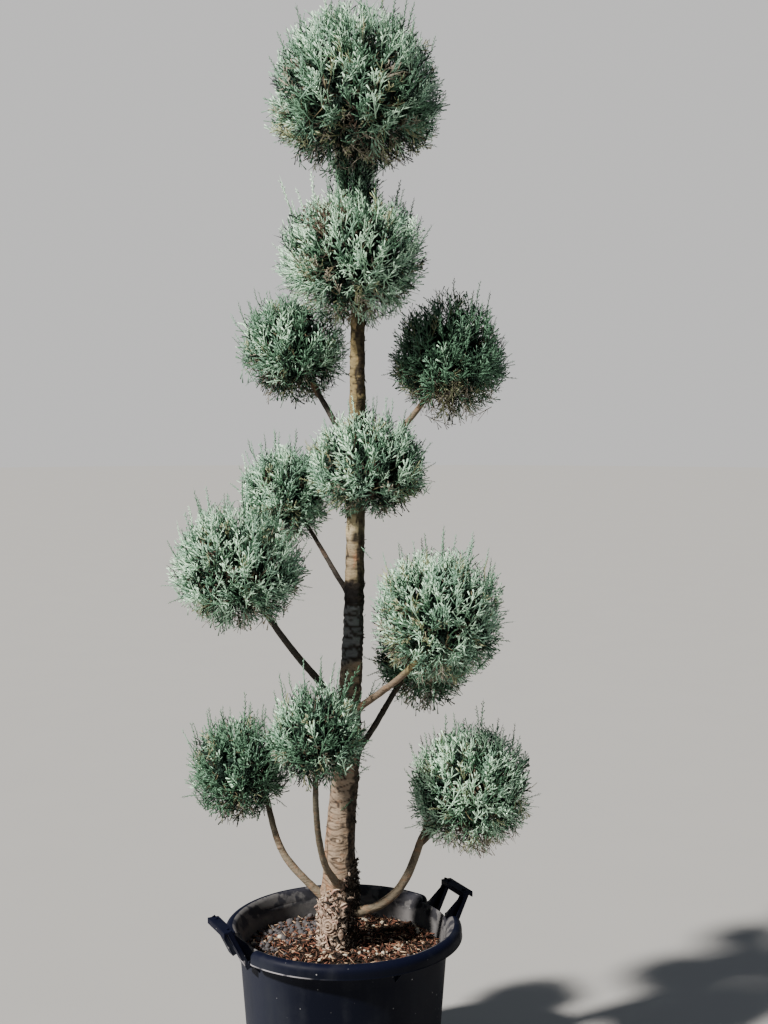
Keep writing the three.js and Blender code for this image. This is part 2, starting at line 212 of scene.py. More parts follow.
# Scars of cut boughs with the size of each
SCARS = (
    ((-0.018, -0.029, 0.617), 0.0125), ((-0.015, -0.030, 0.574), 0.0115),
    ((0.0346, -0.017, 1.658), 0.0060), ((0.0407, -0.015, 1.616), 0.0060),
    ((0.0305, -0.018, 1.580), 0.0070),
    ((-0.1455, 0.015, 0.583), 0.0060), ((0.0915, 0.042, 0.900), 0.0060),
)
# Painted shade on the trunk's side away from the sun: height, share of the radius where it begins, and how
# dark it is
PAINTED_SHADE_SIDE = (
    (0.42, 0.30, 0.9), (0.50, 0.22, 0.9), (0.58, 0.44, 1.0), (0.70, 0.28, 1.0), (0.76, 0.55, 0.9),
    (1.02, 0.75, 0.9), (1.20, 0.28, 0.95), (1.34, 0.12, 0.95), (1.46, -0.05, 0.95), (1.62, -0.20, 0.95),
    (2.00, -0.30, 0.95),
)
# Rusty marks on the trunk, with their size
RUST_AT = (
    ((0.029, -0.020, 1.255), 0.011), ((0.026, -0.021, 1.238), 0.008), ((-0.028, -0.026, 0.505), 0.013),
)

# Bands of bark up the trunk and boughs: heights between which each begins, its colour and how mottled it is
SMOOTH_BAND = (*FOOT_BARK, (0.305, 0.225, 0.160), 0.9)
UPPER_BANDS = (
    (1.010, 1.035, (0.120, 0.126, 0.135), 0.1),
    # Painted shade: a near-black band where the middle_left bough leaves the trunk
    (1.145, 1.155, (0.008, 0.006, 0.006), 0.0),
    (1.190, 1.215, (0.29, 0.225, 0.140), 0.6),
    (1.27, 1.33, (0.50, 0.410, 0.250), 0.5),
    (1.40, 1.50, (0.25, 0.190, 0.092), 0.4),
)
BOUGH_BANDS = (
    # Painted shade: the boughs turn dark where they run up under the lowest balls
    (0.58, 0.66, (0.088, 0.077, 0.054), 0.4),
    (0.84, 0.87, (0.19, 0.140, 0.098), 0.8),
    (1.00, 1.03, (0.24, 0.200, 0.095), 0.4),
    (1.40, 1.45, (0.20, 0.155, 0.105), 0.6),
)
# Boughs with grey bark, painted darker to stand in for the shade of the balls over them
SHADED_SLATE_BOUGHS = ("left", "middle_left", "right_back", "upper_left")
SHADED_SLATE = (0.052, 0.044, 0.038)
GREY_BLOOM = (0.19, 0.17, 0.14)

# Loose flakes of bark: how many, the share of them above the foot and how high those reach, and the curl and
# the width at the free end of each shape
FLAKES = 1300
FLAKES_ABOVE = 0.13
FLAKES_UP_TO = 1.75
FLAKE_SHAPES = ((0.45, 0.5), (0.7, 0.3), (0.25, 0.75), (0.55, 0.15))
FLAKE_TINTS = (
    ("flake_tan", (0.60, 0.46, 0.36), 0.85),
    ("flake_pink", (0.45, 0.28, 0.220), 0.9),
    ("flake_grey", (0.29, 0.23, 0.180), 0.9),
    ("flake_dark", (0.024, 0.019, 0.015), 0.95),
)
FLAKE_SHARES = (0.34, 0.24, 0.22, 0.20)

# Balls of foliage: centre, and furthest reach sideways and upwards
BALLS = {
    "top": ((0.030, 0, 2.272), (0.198, 0.192)),
    "second": ((0.022, 0, 1.918), (0.167, 0.161)),
    "middle": ((0.055, -0.010, 1.460), (0.140, 0.129)),
    "upper_left": ((-0.114, 0.090, 1.724), (0.127, 0.132)),
    "upper_right": ((0.239, 0.070, 1.699), (0.136, 0.154)),
    "middle_left": ((-0.132, 0.090, 1.394), (0.112, 0.121)),
    "left": ((-0.228, -0.090, 1.243), (0.150, 0.150)),
    "right": ((0.210, -0.100, 1.140), (0.146, 0.159)),
    "right_back": ((0.186, 0.140, 1.008), (0.118, 0.138)),
    "lower_left": ((-0.241, 0.060, 0.761), (0.121, 0.130)),
    "lower_front": ((-0.054, -0.160, 0.890), (0.112, 0.118)),
    "lower_right": ((0.288, 0.020, 0.722), (0.146, 0.155)),
}
LUMP = 0.05
# How much nearer its own ball than another a spray stays, as a share of the reach, and its gap to a limb
SPACE_MARGIN = 0.01
LIMB_MARGIN = 0.003

# Twigs inside a ball: arms from its limb, branchlets from the arms, and a twig to every spray
ARMS = 12
ARM_REACH = 0.5
BRANCHLETS = 64
BRANCHLET_REACH = 0.74
# Their thicknesses from root to tip, an arm's as shares of its first, and the first of an arm on the trunk
ARM_TAPER = np.array([1, 0.85, 0.7, 0.6, 0])
TRUNK_ARM = 0.009
BRANCHLET_WIDTHS = (0.0040, 0.0032, 0)
TWIG_WIDTHS = (0.0024, 0.0021, 0)
# Shares of a bough's route that lie inside its ball
INNER_STEM = np.linspace(0, 1, 40)[26:]
TWIG_TINTS = (
    ("twig_grey", (0.11, 0.090, 0.068), 0.85),
    ("twig_brown", (0.070, 0.056, 0.044), 0.85),
    ("twig_straw", (0.20, 0.17, 0.10), 0.8),
    ("twig_green", (0.07, 0.095, 0.055), 0.8),
)

# Sprays: shares of a ball's reach at which the tips of each kind end, and how many there are of it
LAYERS = {"outer": ((0.88, 1.0), 1.0), "inner": ((0.74, 0.88), 0.34), "core": ((0.46, 0.70), 0.34)}
# How far the sprays' directions differ, and the share of them that is missing at the bottom of a ball
GROWTH_SPREAD = 0.34
THIN_BELOW = 0.20
# Tufts in which the sprays stand further out, with gaps between them
TUFT_SCALE = 3.6
TUFT_DEPTH = 0.040
# Plumes of each kind: thickness of its cords, their number, the longest as a share of the plume, and how many
# have a cord of their own
PLUMES = {
    "outer": (1.0, 7, 0.44, 3),
    "inner": (1.1, 7, 0.42, 0),
    "core": (3.6, 8, 0.42, 0),
    "bare": (0.62, 7, 0.42, 3),
    "shoot": (0.74, 16, 0.13, 0),
}
TEMPLATES = 6
SPIRAL = math.radians(137.5)
# Tints of the cords, and the share of each tint in each kind of spray
CORD_TINTS = (
    ("cord_frosted", (0.63, 0.91, 0.68), 0.6),
    ("cord_glaucous", (0.27, 0.46, 0.335), 0.6),
    ("cord_green", (0.110, 0.225, 0.140), 0.65),
    # Darkest green: mostly painted shade for the inside and the underside of a ball
    ("cord_deep_shade", (0.006, 0.022, 0.014), 0.8),
    ("cord_straw", (0.36, 0.38, 0.22), 0.65),
    ("cord_old", (0.115, 0.080, 0.060), 0.85),
    ("cord_bare", (0.37, 0.33, 0.26), 0.8),
)
FROSTED, GLAUCOUS, GREEN, DEEP_SHADE, STRAW, OLD, BARE = range(7)
TINT_SHARES = {
    "outer": (0.36, 0.35, 0.17, 0.09, 0.03, 0.0, 0.0),
    # Inner and core sprays are nearly all the darkest green: painted shade inside the ball
    "inner": (0.0, 0.03, 0.12, 0.83, 0.0, 0.02, 0.0),
    "core": (0.0, 0.0, 0.0, 0.94, 0.0, 0.06, 0.0),
    "bare": (0.0, 0.0, 0.0, 0.0, 0.32, 0.20, 0.48),
    "shoot": (0.08, 0.42, 0.46, 0.0, 0.04, 0.0, 0.0),
}
# Share of glaucous sprays turned to frosted ones, in the frostier balls
FROSTIER = {"second": 0.6, "lower_right": 0.8, "left": 0.15, "right": 0.15}
# Share of frosted and glaucous sprays turned to green ones, in the duller balls
DULLER = {
    "top": 0.2, "lower_left": 0.8, "upper_left": 0.45, "upper_right": 0.9, "lower_front": 0.55,
    "right_back": 0.5,
}
# Share of outer sprays at the bottom of a ball that are turned the darkest green, as painted shade under it
SHADY_BELOW = {"top": 0.55, "upper_left": 0.4, "lower_front": 0.4, "lower_left": 0.35, "middle": 0.3}
# Patches of dead brown sprays: centre and size, and the share of the sprays in them that is dead
DEAD_AT = {"second": ((-0.050, -0.095, 2.014), (0.075, 0.06, 0.032))}
DEAD_SHARE = 0.5
# Share of outer and inner sprays that are bare at the bottom of a ball, there and elsewhere
BARE_BELOW = {"upper_right": 0.8, "lower_right": 0.6, "top": 0.4, "upper_left": 0.5}
BARE_ELSEWHERE = 0.25
# Upright shoots: how many there are on a ball with the reach of the second value, and the shares of a ball's
# reach at which they are rooted and from which height they grow
SHOOTS = 90
SHOOTS_ON = 0.14
SHOOT_ROOT = 0.86
SHOOTS_FROM = -0.6
# How much longer the tallest shoots are, the ball where they are taller and may rise into the next ball's
# space, and how far they may
SPIRE = 0.75
SPIRES = {"second": 1.5}
SPIRE_MARGIN = -0.5
# Lone shoots on the trunk and between the boughs: root and tip
LONE_SHOOTS = (
    ((0.041, -0.010, 1.281), (0.069, -0.018, 1.252)),
    ((0.052, -0.035, 0.935), (0.071, -0.045, 0.993)),
    ((0.059, -0.040, 0.945), (0.088, -0.050, 0.985)),
    ((-0.012, -0.085, 0.925), (0.045, -0.085, 1.035)),
    ((0.031, -0.004, 0.757), (0.066, -0.012, 0.784)),
    ((-0.007, -0.022, 0.683), (0.021, -0.060, 0.724)),
)
# Sleeve of foliage round the trunk above one ball: heights, how far out it reaches, and its number of sprays
NECK_ON = "second"
NECK_HEIGHTS = (2.02, 2.12)
NECK_REACH = 0.046
NECK_SPRAYS = 190

# Seeds of the random draws, to which a ball's own number is added
STONE_SEED, CHIP_SEED, FLAKE_SEED, SPRAY_SEED, TWIG_SEED = 7, 11, 31, 100, 200

# Camera, as the photograph was taken
CAMERA_AT = (0.0923, -3.27, 1.622)
CAMERA_PITCH = math.radians(4.626)
CAMERA_LENS = 51.70
CAMERA_SENSOR = 36.0
# Sun, as it stood: its turn, the width of its disc and its colour, and the colour of the light all round
SUN_TURN = (math.radians(49), 0, math.radians(-55))
SUN_DISC = math.radians(4)
SUN_COLOUR = (1.0, 0.955, 0.88)
SKY_COLOUR = (0.80, 0.88, 1.0, 1)
FLOOR_RADIUS = 30


class ContainerSettings(bpy.types.PropertyGroup):
    """Finish of the nursery container."""

    plastic: FloatVectorProperty(
        name="Plastic", description="Colour of the moulded plastic",
        default=(0.0028, 0.0038, 0.0095), size=3, min=0, max=1, subtype="COLOR")
    # Painted sheen: the plastic is paler on the side that faces the sun
    lit_side_sheen: FloatVectorProperty(
        name="Bleached plastic", description="Colour of the plastic on the side that faces the sun",
        default=(0.0165, 0.0190, 0.0310), size=3, min=0, max=1, subtype="COLOR")
    dust: FloatVectorProperty(
        name="Dust", description="Colour of the dust and lime inside the wall",
        default=(0.130, 0.126, 0.129), size=3, min=0, max=1, subtype="COLOR")
    # Painted reflection: the blue of the sky on the rolled rim's top, given as its colour
    rim_sky_reflection: FloatVectorProperty(
        name="Rim", description="Colour of the worn top of the rolled rim",
        default=(0.0038, 0.0050, 0.0160), size=3, min=0, max=1, subtype="COLOR")
    gloss: FloatProperty(
        name="Roughness", description="Roughness of clean plastic",
        default=0.5, min=0, max=1, subtype="FACTOR")


class MediumSettings(bpy.types.PropertyGroup):
    """Loose top of the growing medium."""

    stones: IntProperty(name="Stones", description="Number of pumice stones", default=800, min=0)
    chips: IntProperty(name="Chips", description="Number of bark chips", default=2300, min=0)
    fibres: IntProperty(name="Fibres", description="Number of coir fibres", default=900, min=0)


class WoodSettings(bpy.types.PropertyGroup):
    """Bark of trunk and boughs."""

    light: FloatVectorProperty(
        name="Smooth bark", description="Colour of the smooth stretch above the foot",
        default=(0.465, 0.365, 0.265), size=3, min=0, max=1, subtype="COLOR")
    warm: FloatVectorProperty(
        name="Warm bark", description="Colour of freshly flaked plates",
        default=(0.33, 0.175, 0.095), size=3, min=0, max=1, subtype="COLOR")
    foot: FloatVectorProperty(
        name="Foot bark", description="Colour of the flaky foot of the trunk",
        default=(0.475, 0.345, 0.265), size=3, min=0, max=1, subtype="COLOR")
    grey: FloatVectorProperty(
        name="Old bark", description="Colour of the ringed old bark in the middle of the trunk",
        default=(0.25, 0.190, 0.140), size=3, min=0, max=1, subtype="COLOR")
    # Dark bark is also the colour of the painted shade on the trunk's right side
    dark: FloatVectorProperty(
        name="Dark bark", description="Colour of the cracks",
        default=(0.017, 0.012, 0.009), size=3, min=0, max=1, subtype="COLOR")
    bough: FloatVectorProperty(
        name="Bough bark", description="Colour of the thin bark on the boughs",
        default=(0.190, 0.156, 0.110), size=3, min=0, max=1, subtype="COLOR")
    relief: FloatProperty(
        name="Relief", description="How far a plate stands out at the foot of the trunk",
        default=0.0020, min=0, max=0.01, unit="LENGTH")


class FoliageSettings(bpy.types.PropertyGroup):
    """Sprays of scale leaves."""

    density: FloatProperty(
        name="Sprays", description="Number of outer sprays on a square metre of a ball's surface",
        default=2350, min=100, max=6000)
    length: FloatProperty(
        name="Spray length", description="Length of a spray of middle size",
        default=0.056, min=0.01, max=0.2, unit="LENGTH")
    width: FloatProperty(
        name="Cord width", description="Thickness of a scale-leaf cord",
        default=0.0026, min=0.0005, max=0.01, unit="LENGTH")
    lift: FloatProperty(
        name="Lift", description="How strongly sprays turn upwards", default=0.75, min=0, max=2)


class StageSettings(bpy.types.PropertyGroup):
    """Floor and light."""

    floor: FloatVectorProperty(
        name="Floor", description="Colour of the floor",
        default=(0.43, 0.425, 0.42), size=3, min=0, max=1, subtype="COLOR")
    key: FloatProperty(name="Key light", description="Strength of the main light", default=7.8, min=0)
    fill: FloatProperty(
        name="Fill light", description="Strength of the light from all round", default=0.17, min=0)
    backdrop: FloatProperty(
        name="Backdrop", description="How bright the backdrop is against the floor's own colour",
        default=1.68, min=0)


# Materials

class Recipe:
    """A material whose nodes are added one after another."""

    def __init__(self, name):
        self.material = bpy.data.materials.new(name)
        self.material.use_nodes = True
        self.nodes = self.material.node_tree.nodes
        self.links = self.material.node_tree.links
        self.shader = self.nodes["Principled BSDF"]
        self.place = self.nodes.new("ShaderNodeTexCoord").outputs["Object"]

    def add(self, kind, inputs, output=0, **settings):
        """Adds a node, sets it up and gives back one of its outputs."""
        node = self.nodes.new(kind)
        for key, value in settings.items():
            setattr(node, key, value)
        for key, value in inputs.items():
            self.feed(node.inputs[key], value)
        return node.outputs[output]

    def feed(self, socket, value):
        """Links a socket to another node's output, or sets it."""
        if isinstance(value, bpy.types.NodeSocket):
            self.links.new(value, socket)
        elif socket.type == "RGBA" and len(value) == 3:
            socket.default_value = (*value, 1)
        else:
            socket.default_value = value

    def axes(self):
        """The three object coordinates, each on its own."""
        return self.add("ShaderNodeSeparateXYZ", {"Vector": self.place}).node.outputs

    def stretched(self, scale):
        """Object coordinates made longer or shorter along each axis."""
        return self.add("ShaderNodeMapping", {"Vector": self.place, "Scale": scale})

    def noise(self, scale, detail=4, rough=0.5, place=None):
        """Cloudy pattern."""
        inputs = {"Vector": place or self.place, "Scale": scale, "Detail": detail, "Roughness": rough}
        return self.add("ShaderNodeTexNoise", inputs)

    def step(self, value, low, high, start=0.0, end=1.0):
        """Smooth rise from start to end as a value goes from low to high."""
        inputs = {"Value": value, "From Min": low, "From Max": high, "To Min": start, "To Max": end}
        return self.add("ShaderNodeMapRange", inputs, interpolation_type="SMOOTHSTEP")

    def maths(self, operation, first, second=0.0):
        """Arithmetic on one or two values."""
        return self.add("ShaderNodeMath", {0: first, 1: second}, operation=operation)

    def plus(self, first, second):
        """Sum of two values."""
        return self.maths("ADD", first, second)

    def minus(self, first, second):
        """First value less the second."""
        return self.maths("SUBTRACT", first, second)

    def times(self, first, second):
        """Product of two values."""
        return self.maths("MULTIPLY", first, second)

    def larger(self, first, second):
        """Larger of two values."""
        return self.maths("MAXIMUM", first, second)

    def mix(self, first, second, share):
        """Mixture of two colours."""
        return self.add("ShaderNodeMix", {6: first, 7: second, 0: share}, output=2, data_type="RGBA")

    def attribute(self, name):
        """Number stored at each point of the mesh."""
        return self.add("ShaderNodeAttribute", {}, output=2, attribute_name=name)

    def bump(self, height, distance, strength):
        """Fine relief of the surface."""
        inputs = {"Height": height, "Distance": distance, "Strength": strength}
        self.feed(self.shader.inputs["Normal"], self.add("ShaderNodeBump", inputs))

    def surface(self, colour, roughness, specular):
        """Connects the finish to the shader and gives back the material."""
        self.feed(self.shader.inputs["Base Color"], colour)
        self.feed(self.shader.inputs["Roughness"], roughness)
        self.shader.inputs["Specular IOR Level"].default_value = specular
        return self.material


def tinted(table):
    """Materials of one plain colour each, for small things whose colours are dealt out one by one."""
    return [Recipe(name).surface(colour, roughness, 0.3) for name, colour, roughness in table]


def plastic_material(settings):
    """Black moulded plastic with rain marks and dust inside, and painted sheen, rim reflection and edge
    glint.
    """
    recipe = Recipe("container_plastic")
    x, y, z = recipe.axes()
    # Painted sheen: paler towards the sunny left side
    colour = recipe.mix(settings.plastic, settings.lit_side_sheen, recipe.step(x, -0.06, -0.19))
    # Painted reflection: the sky's blue on the top of the rim
    colour = recipe.mix(colour, settings.rim_sky_reflection, recipe.step(z, RIM_TOP_FROM, POT_TOP))
    streak = recipe.noise(26, 3, 0.5, recipe.stretched((1, 1, 0.12)))
    stained = recipe.step(recipe.times(recipe.noise(9, 5, 0.6), streak), 0.22, 0.42)
    colour = recipe.mix(colour, WATER_STAIN, recipe.times(stained, 0.3))
    speck = recipe.add("ShaderNodeTexVoronoi", {"Vector": recipe.place, "Scale": 62.0, "Randomness": 1.0})
    sparse = recipe.step(recipe.noise(31, 2), 0.55, 0.62)
    colour = recipe.mix(colour, LIME_SPECK, recipe.times(recipe.step(speck, 0.13, 0.07), sparse))
    radius = recipe.maths("SQRT", recipe.plus(recipe.times(x, x), recipe.times(y, y)))
    dust = dust_inside(recipe, radius, z)
    colour = recipe.mix(colour, settings.dust, dust)
    # Painted glint: a pale line along the rim's lower edge on the sunny side
    colour = recipe.mix(colour, PAINTED_EDGE_GLINT, painted_edge_glint(recipe, radius, x, z))
    worn = recipe.plus(recipe.times(stained, 0.6), dust)
    recipe.bump(recipe.noise(420, 3), 0.0003, 0.4)
    return recipe.surface(colour, recipe.step(worn, 0, 1, settings.gloss, 0.8), 0.08)


def dust_inside(recipe, radius, z):
    """Share of dust on the inside of the wall, with darker blotches under the rim where less of it is mixed
    in.
    """
    wall = recipe.plus(POT_FOOT_RADIUS - POT_WALL / 2, recipe.times(z, POT_SLOPE))
    over = recipe.larger(recipe.minus(z, POT_NECK_Z), 0.0)
    face = recipe.plus(wall, recipe.times(over, 0.55))
    inside = recipe.step(recipe.minus(face, radius), 0.0, 0.001)
    blotch = recipe.times(recipe.step(recipe.noise(34, 3), 0.46, 0.56), recipe.step(z, 0.378, 0.394))
    inside = recipe.times(inside, recipe.minus(1.0, recipe.times(blotch, 0.75)))
    return recipe.times(inside, recipe.step(recipe.noise(48, 6, 0.7), 0.25, 0.6, 0.6, 1.0))


def painted_edge_glint(recipe, radius, x, z):
    """Share of painted glint along the lower edge of the rim, on the sunny side."""
    low = recipe.step(z, POT_NECK_Z + 0.0020, POT_NECK_Z + 0.0008)
    outer = RIM_RADIUS + RIM_ROLL
    edge = recipe.times(low, recipe.step(radius, outer - 0.0035, outer - 0.0020))
    glinting = recipe.times(recipe.step(x, -0.02, -0.12), recipe.step(recipe.noise(22, 3), 0.40, 0.55))
    return recipe.times(edge, glinting)


def bark_material(name, settings, first, mottled, bands):
    """Bark that changes colour and mottling from band to band, with rusty marks, dark cracks and painted
    shade.
    """
    recipe = Recipe(name)
    cloud = recipe.noise(26, 5, 0.6)
    height = recipe.plus(recipe.axes()[2], recipe.times(recipe.minus(cloud, 0.5), 0.07))
    colour = first
    variety = mottled
    for low, high, following, share in bands:
        rise = recipe.step(height, low, high)
        colour = recipe.mix(colour, following, rise)
        variety = recipe.plus(variety, recipe.times(rise, share - mottled))
        mottled = share
    fresh = recipe.step(recipe.noise(44, 4, 0.6, recipe.stretched((1, 1, 1.7))), 0.52, 0.66, 0, 0.55)
    warm = recipe.larger(recipe.times(fresh, variety), recipe.attribute("rust"))
    colour = recipe.mix(colour, settings.warm, warm)
    pale = recipe.step(recipe.attribute("plate"), 0.55, 1.0, 0, 0.35)
    colour = recipe.mix(colour, settings.light, recipe.times(pale, variety))
    bloom = recipe.step(recipe.noise(17, 4, 0.6, recipe.stretched((1, 1, 2.4))), 0.5, 0.75, 0, 0.55)
    colour = recipe.mix(colour, GREY_BLOOM, recipe.times(bloom, variety))
    fine = recipe.noise(170, 6, 0.7, recipe.stretched((0.8, 0.8, 3.0)))
    colour = recipe.mix(colour, settings.dark, recipe.step(fine, 0.50, 0.74, 0, 0.65))
    # Cracks and the painted shade of the trunk's right side darken the bark through one attribute
    colour = recipe.mix(colour, settings.dark, recipe.attribute("crack_and_shade"))
    lines = recipe.add("ShaderNodeTexWave", {
        "Vector": recipe.place, "Scale": 34.0, "Distortion": 9.0, "Detail": 4.0, "Detail Scale": 1.6,
    }, output=1, wave_type="BANDS", bands_direction="Z")
    recipe.bump(recipe.plus(recipe.times(lines, 0.5), fine), 0.0016, 0.6)
    return recipe.surface(colour, recipe.step(fine, 0.3, 0.7, 0.72, 0.95), 0.25)


def medium_material():
    """Dark fine stuff between the chips and stones."""
    recipe = Recipe("growing_medium")
    grain = recipe.noise(160, 6, 0.75)
    colour = recipe.mix(MEDIUM_DARK, MEDIUM_BROWN, recipe.step(grain, 0.48, 0.70))
    colour = recipe.mix(colour, MEDIUM_GREY, recipe.step(recipe.noise(18, 3), 0.5, 0.7, 0, 0.4))
    recipe.bump(grain, 0.003, 0.9)
    return recipe.surface(colour, 0.95, 0.15)


# Making pieces

def finish_piece(mesh, materials, slot, *nodes):
    """Puts a mesh in the scene as a piece that rides with the plant, and hides the named nodes it replaces.
    """
    piece = bpy.data.objects.new(mesh.name, mesh)
    bpy.context.scene.collection.objects.link(piece)
    for material in materials:
        mesh.materials.append(material)
    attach(piece, "root")
    if nodes:
        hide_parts(*nodes)
    return piece


def mesh_of(bm, name, smooth=True, merge=True):
    """Turns a bmesh into a mesh: its faces point outwards, and its doubles are merged unless told not to."""
    if merge:
        bmesh.ops.remove_doubles(bm, verts=bm.verts, dist=1e-5)
    bmesh.ops.recalc_face_normals(bm, faces=bm.faces)
    mesh = bpy.data.meshes.new(name)
    bm.to_mesh(mesh)
    bm.free()
    if smooth:
        mesh.shade_smooth()
    else:
        mesh.shade_flat()
    return mesh


def block(bm, size, middle):
    """Adds a block to a bmesh and gives back its corners."""
    corners = bmesh.ops.create_cube(bm, size=1)["verts"]
    bmesh.ops.scale(bm, verts=corners, vec=size)
    bmesh.ops.translate(bm, verts=corners, vec=middle)
    return corners


def slab(bm, outline, start, thick):
    """Adds an upright plate to a bmesh, from its outline of (radius, height), and gives back its corners."""
    plate = bm.faces.new([bm.verts.new((radius, start, height)) for radius, height in outline])
    grown = bmesh.ops.extrude_face_region(bm, geom=[plate])["geom"]
    moved = [item for item in grown if isinstance(item, bmesh.types.BMVert)]
    bmesh.ops.translate(bm, verts=moved, vec=(0, thick, 0))
    return [*plate.verts, *moved]


def spun(bm, profile, steps, start=0.0, angle=2 * math.pi):
    """Turns a closed or open profile of (radius, height) round the container's axis."""
    around = Matrix.Rotation(start, 3, "Z")
    points = [bm.verts.new(around @ Vector((radius, 0, height))) for radius, height in profile]
    pairs = list(zip(points, points[1:]))
    if profile[0][0] > 0:
        pairs.append((points[-1], points[0]))
    edges = [bm.edges.new(pair) for pair in pairs]
    whole = angle >= 2 * math.pi
    bmesh.ops.spin(
        bm, geom=points + edges, cent=(0, 0, 0), axis=(0, 0, 1), angle=angle, steps=steps, use_merge=whole)


def beside_handle(place):
    """Distance along the rim from the nearest gap for a handle, below zero inside that gap."""
    angle = math.atan2(place[1], place[0]) - HANDLE_TURN
    return (abs((angle + math.pi / 2) % math.pi - math.pi / 2) - HANDLE_GAP) * RIM_RADIUS


def arc(centre, radius, start, end, steps):
    """Points of a round corner of a profile, between two angles in degrees."""
    turns = [math.radians(start + (end - start) * i / steps) for i in range(steps + 1)]
    return [(centre[0] + radius * math.cos(t), centre[1] + radius * math.sin(t)) for t in turns]


class Heap:
    """Many small closed shapes joined into one mesh, each with its own material number."""

    def __init__(self):
        self.points, self.faces, self.slots = [], [], []
        self.count = 0

    def add(self, template, turns, places, slots):
        """Adds copies of a template: one 3 x 3 matrix, one place and one material number each."""
        points, faces = template
        copies = np.einsum("nij,mj->nmi", turns, points) + places[:, None, :]
        starts = self.count + len(points) * np.arange(len(places))
        self.points.append(copies.reshape(-1, 3))
        self.faces.append((faces[None] + starts[:, None, None]).reshape(-1, 3))
        self.slots.append(np.repeat(slots, len(faces)))
        self.count += len(points) * len(places)

    def mesh(self, name):
        """Joined mesh of all that was added."""
        points = np.concatenate(self.points).astype(np.float32)
        faces = np.concatenate(self.faces).astype(np.int32)
        mesh = bpy.data.meshes.new(name)
        mesh.vertices.add(len(points))
        mesh.vertices.foreach_set("co", points.ravel())
        mesh.loops.add(faces.size)
        mesh.loops.foreach_set("vertex_index", faces.ravel())
        mesh.polygons.add(len(faces))
        mesh.polygons.foreach_set("loop_start", np.arange(0, faces.size, 3, dtype=np.int32))
        mesh.polygons.foreach_set("material_index", np.concatenate(self.slots).astype(np.int32))
        mesh.update(calc_edges=True)
        return mesh


def unit(vectors):
    """Vectors of length one."""
    return vectors / np.maximum(np.linalg.norm(vectors, axis=-1, keepdims=True), 1e-9)


def square_to(along, hint):
    """Unit vectors square to the given ones, towards a hint."""
    return unit(hint - (hint * along).sum(-1, keepdims=True) * along)


def facing(along, hint):
    """Matrices that turn Z to the given directions and X towards the hints."""
    side = square_to(along, hint)
    return np.stack([side, np.cross(along, side), along], axis=-1)


def strand(route, widths):
    """Closed three-sided strand through a route's points, with a pointed end."""
    route = np.asarray(route, float)
    along = unit(np.gradient(route, axis=0))
    side = square_to(along, np.array([0.31, 0.87, 0.22]))
    other = np.cross(along, side)
    turns = 2 * math.pi * np.arange(3) / 3
    rings = []
    for place, width, first, second in zip(route[:-1], widths, side, other):
        rings.append(place + width / 2 * (np.outer(np.cos(turns), first) + np.outer(np.sin(turns), second)))
    points = np.vstack([*rings, route[-1:]])
    faces = [(0, 2, 1)]
    for ring in range(len(rings) - 1):
        for i in range(3):
            low, next_low = 3 * ring + i, 3 * ring + (i + 1) % 3
            faces += [(low, next_low, next_low + 3), (low, next_low + 3, low + 3)]
    last = 3 * (len(rings) - 1)
    faces += [(last + i, last + (i + 1) % 3, len(points) - 1) for i in range(3)]
    return points, np.array(faces)


def cord(start, end, width):
    """Closed blunt cord of four faces: an edge across its root, and a wider one square to it at its tip."""
    start, end = np.asarray(start, float), np.asarray(end, float)
    along = unit(end - start)
    side = width / 2 * square_to(along, np.array([0.31, 0.87, 0.22]))
    other = np.cross(along, side)
    points = np.vstack([start - 0.6 * side, start + 0.6 * side, end - other, end + other])
    return points, np.array([(0, 1, 2), (0, 3, 1), (0, 2, 3), (1, 3, 2)])


def joined(shapes):
    """Several shapes as one."""
    starts = np.cumsum([0] + [len(points) for points, _ in shapes[:-1]])
    points = np.vstack([points for points, _ in shapes])
    return points, np.vstack([faces + start for (_, faces), start in zip(shapes, starts)])


# Limbs

def limb_curve(route, shares):
    """Points at shares of the centripetal curve through a route."""
    knots = np.array(route, float)
    padded = np.vstack([2 * knots[0] - knots[1], knots, 2 * knots[-1] - knots[-2]])
    place = np.clip(shares, 0, 1) * (len(knots) - 1)
    first = np.minimum(place.astype(int), len(knots) - 2)
    t = (place - first)[:, None]
    p0, p1, p2, p3 = (padded[first + i] for i in range(4))
    pairs = ((p0, p1), (p1, p2), (p2, p3))
    d0, d1, d2 = (np.sqrt(np.linalg.norm(after - before, axis=1, keepdims=True)) for before, after in pairs)
    m1 = d1 * ((p1 - p0) / d0 - (p2 - p0) / (d0 + d1) + (p2 - p1) / d1)
    m2 = d1 * ((p2 - p1) / d1 - (p3 - p1) / (d1 + d2) + (p3 - p2) / d2)
    return ((2 * t**3 - 3 * t**2 + 1) * p1 + (t**3 - 2 * t**2 + t) * m1
            + (3 * t**2 - 2 * t**3) * p2 + (t**3 - t**2) * m2)


def limb_widths(widths, shares):
    """Diameter at shares of a limb's route."""
    return np.interp(shares * (len(widths) - 1), range(len(widths)), widths)


def carried_on(name):
    """Route and widths of a bough that runs on to the middle of its ball, getting thinner."""
    route, (thick, thin) = BOUGHS[name]
    end, centre = np.array(route[-1]), np.array(BALLS[name][0])
    widths = [*np.linspace(thick, thin, len(route)), 0.72 * thin, 0.40 * thin]
    return [*route, tuple(0.5 * (end + centre)), tuple(centre)], widths


def limb_samples(steps=40):
    """Points along every limb with the limb's radius there."""
    shares = np.linspace(0, 1, steps)
    points = np.vstack([limb_curve(route, shares) for route, _ in LIMBS.values()])
    radii = np.concatenate([limb_widths(widths, shares) / 2 for _, widths in LIMBS.values()])
    return points, radii


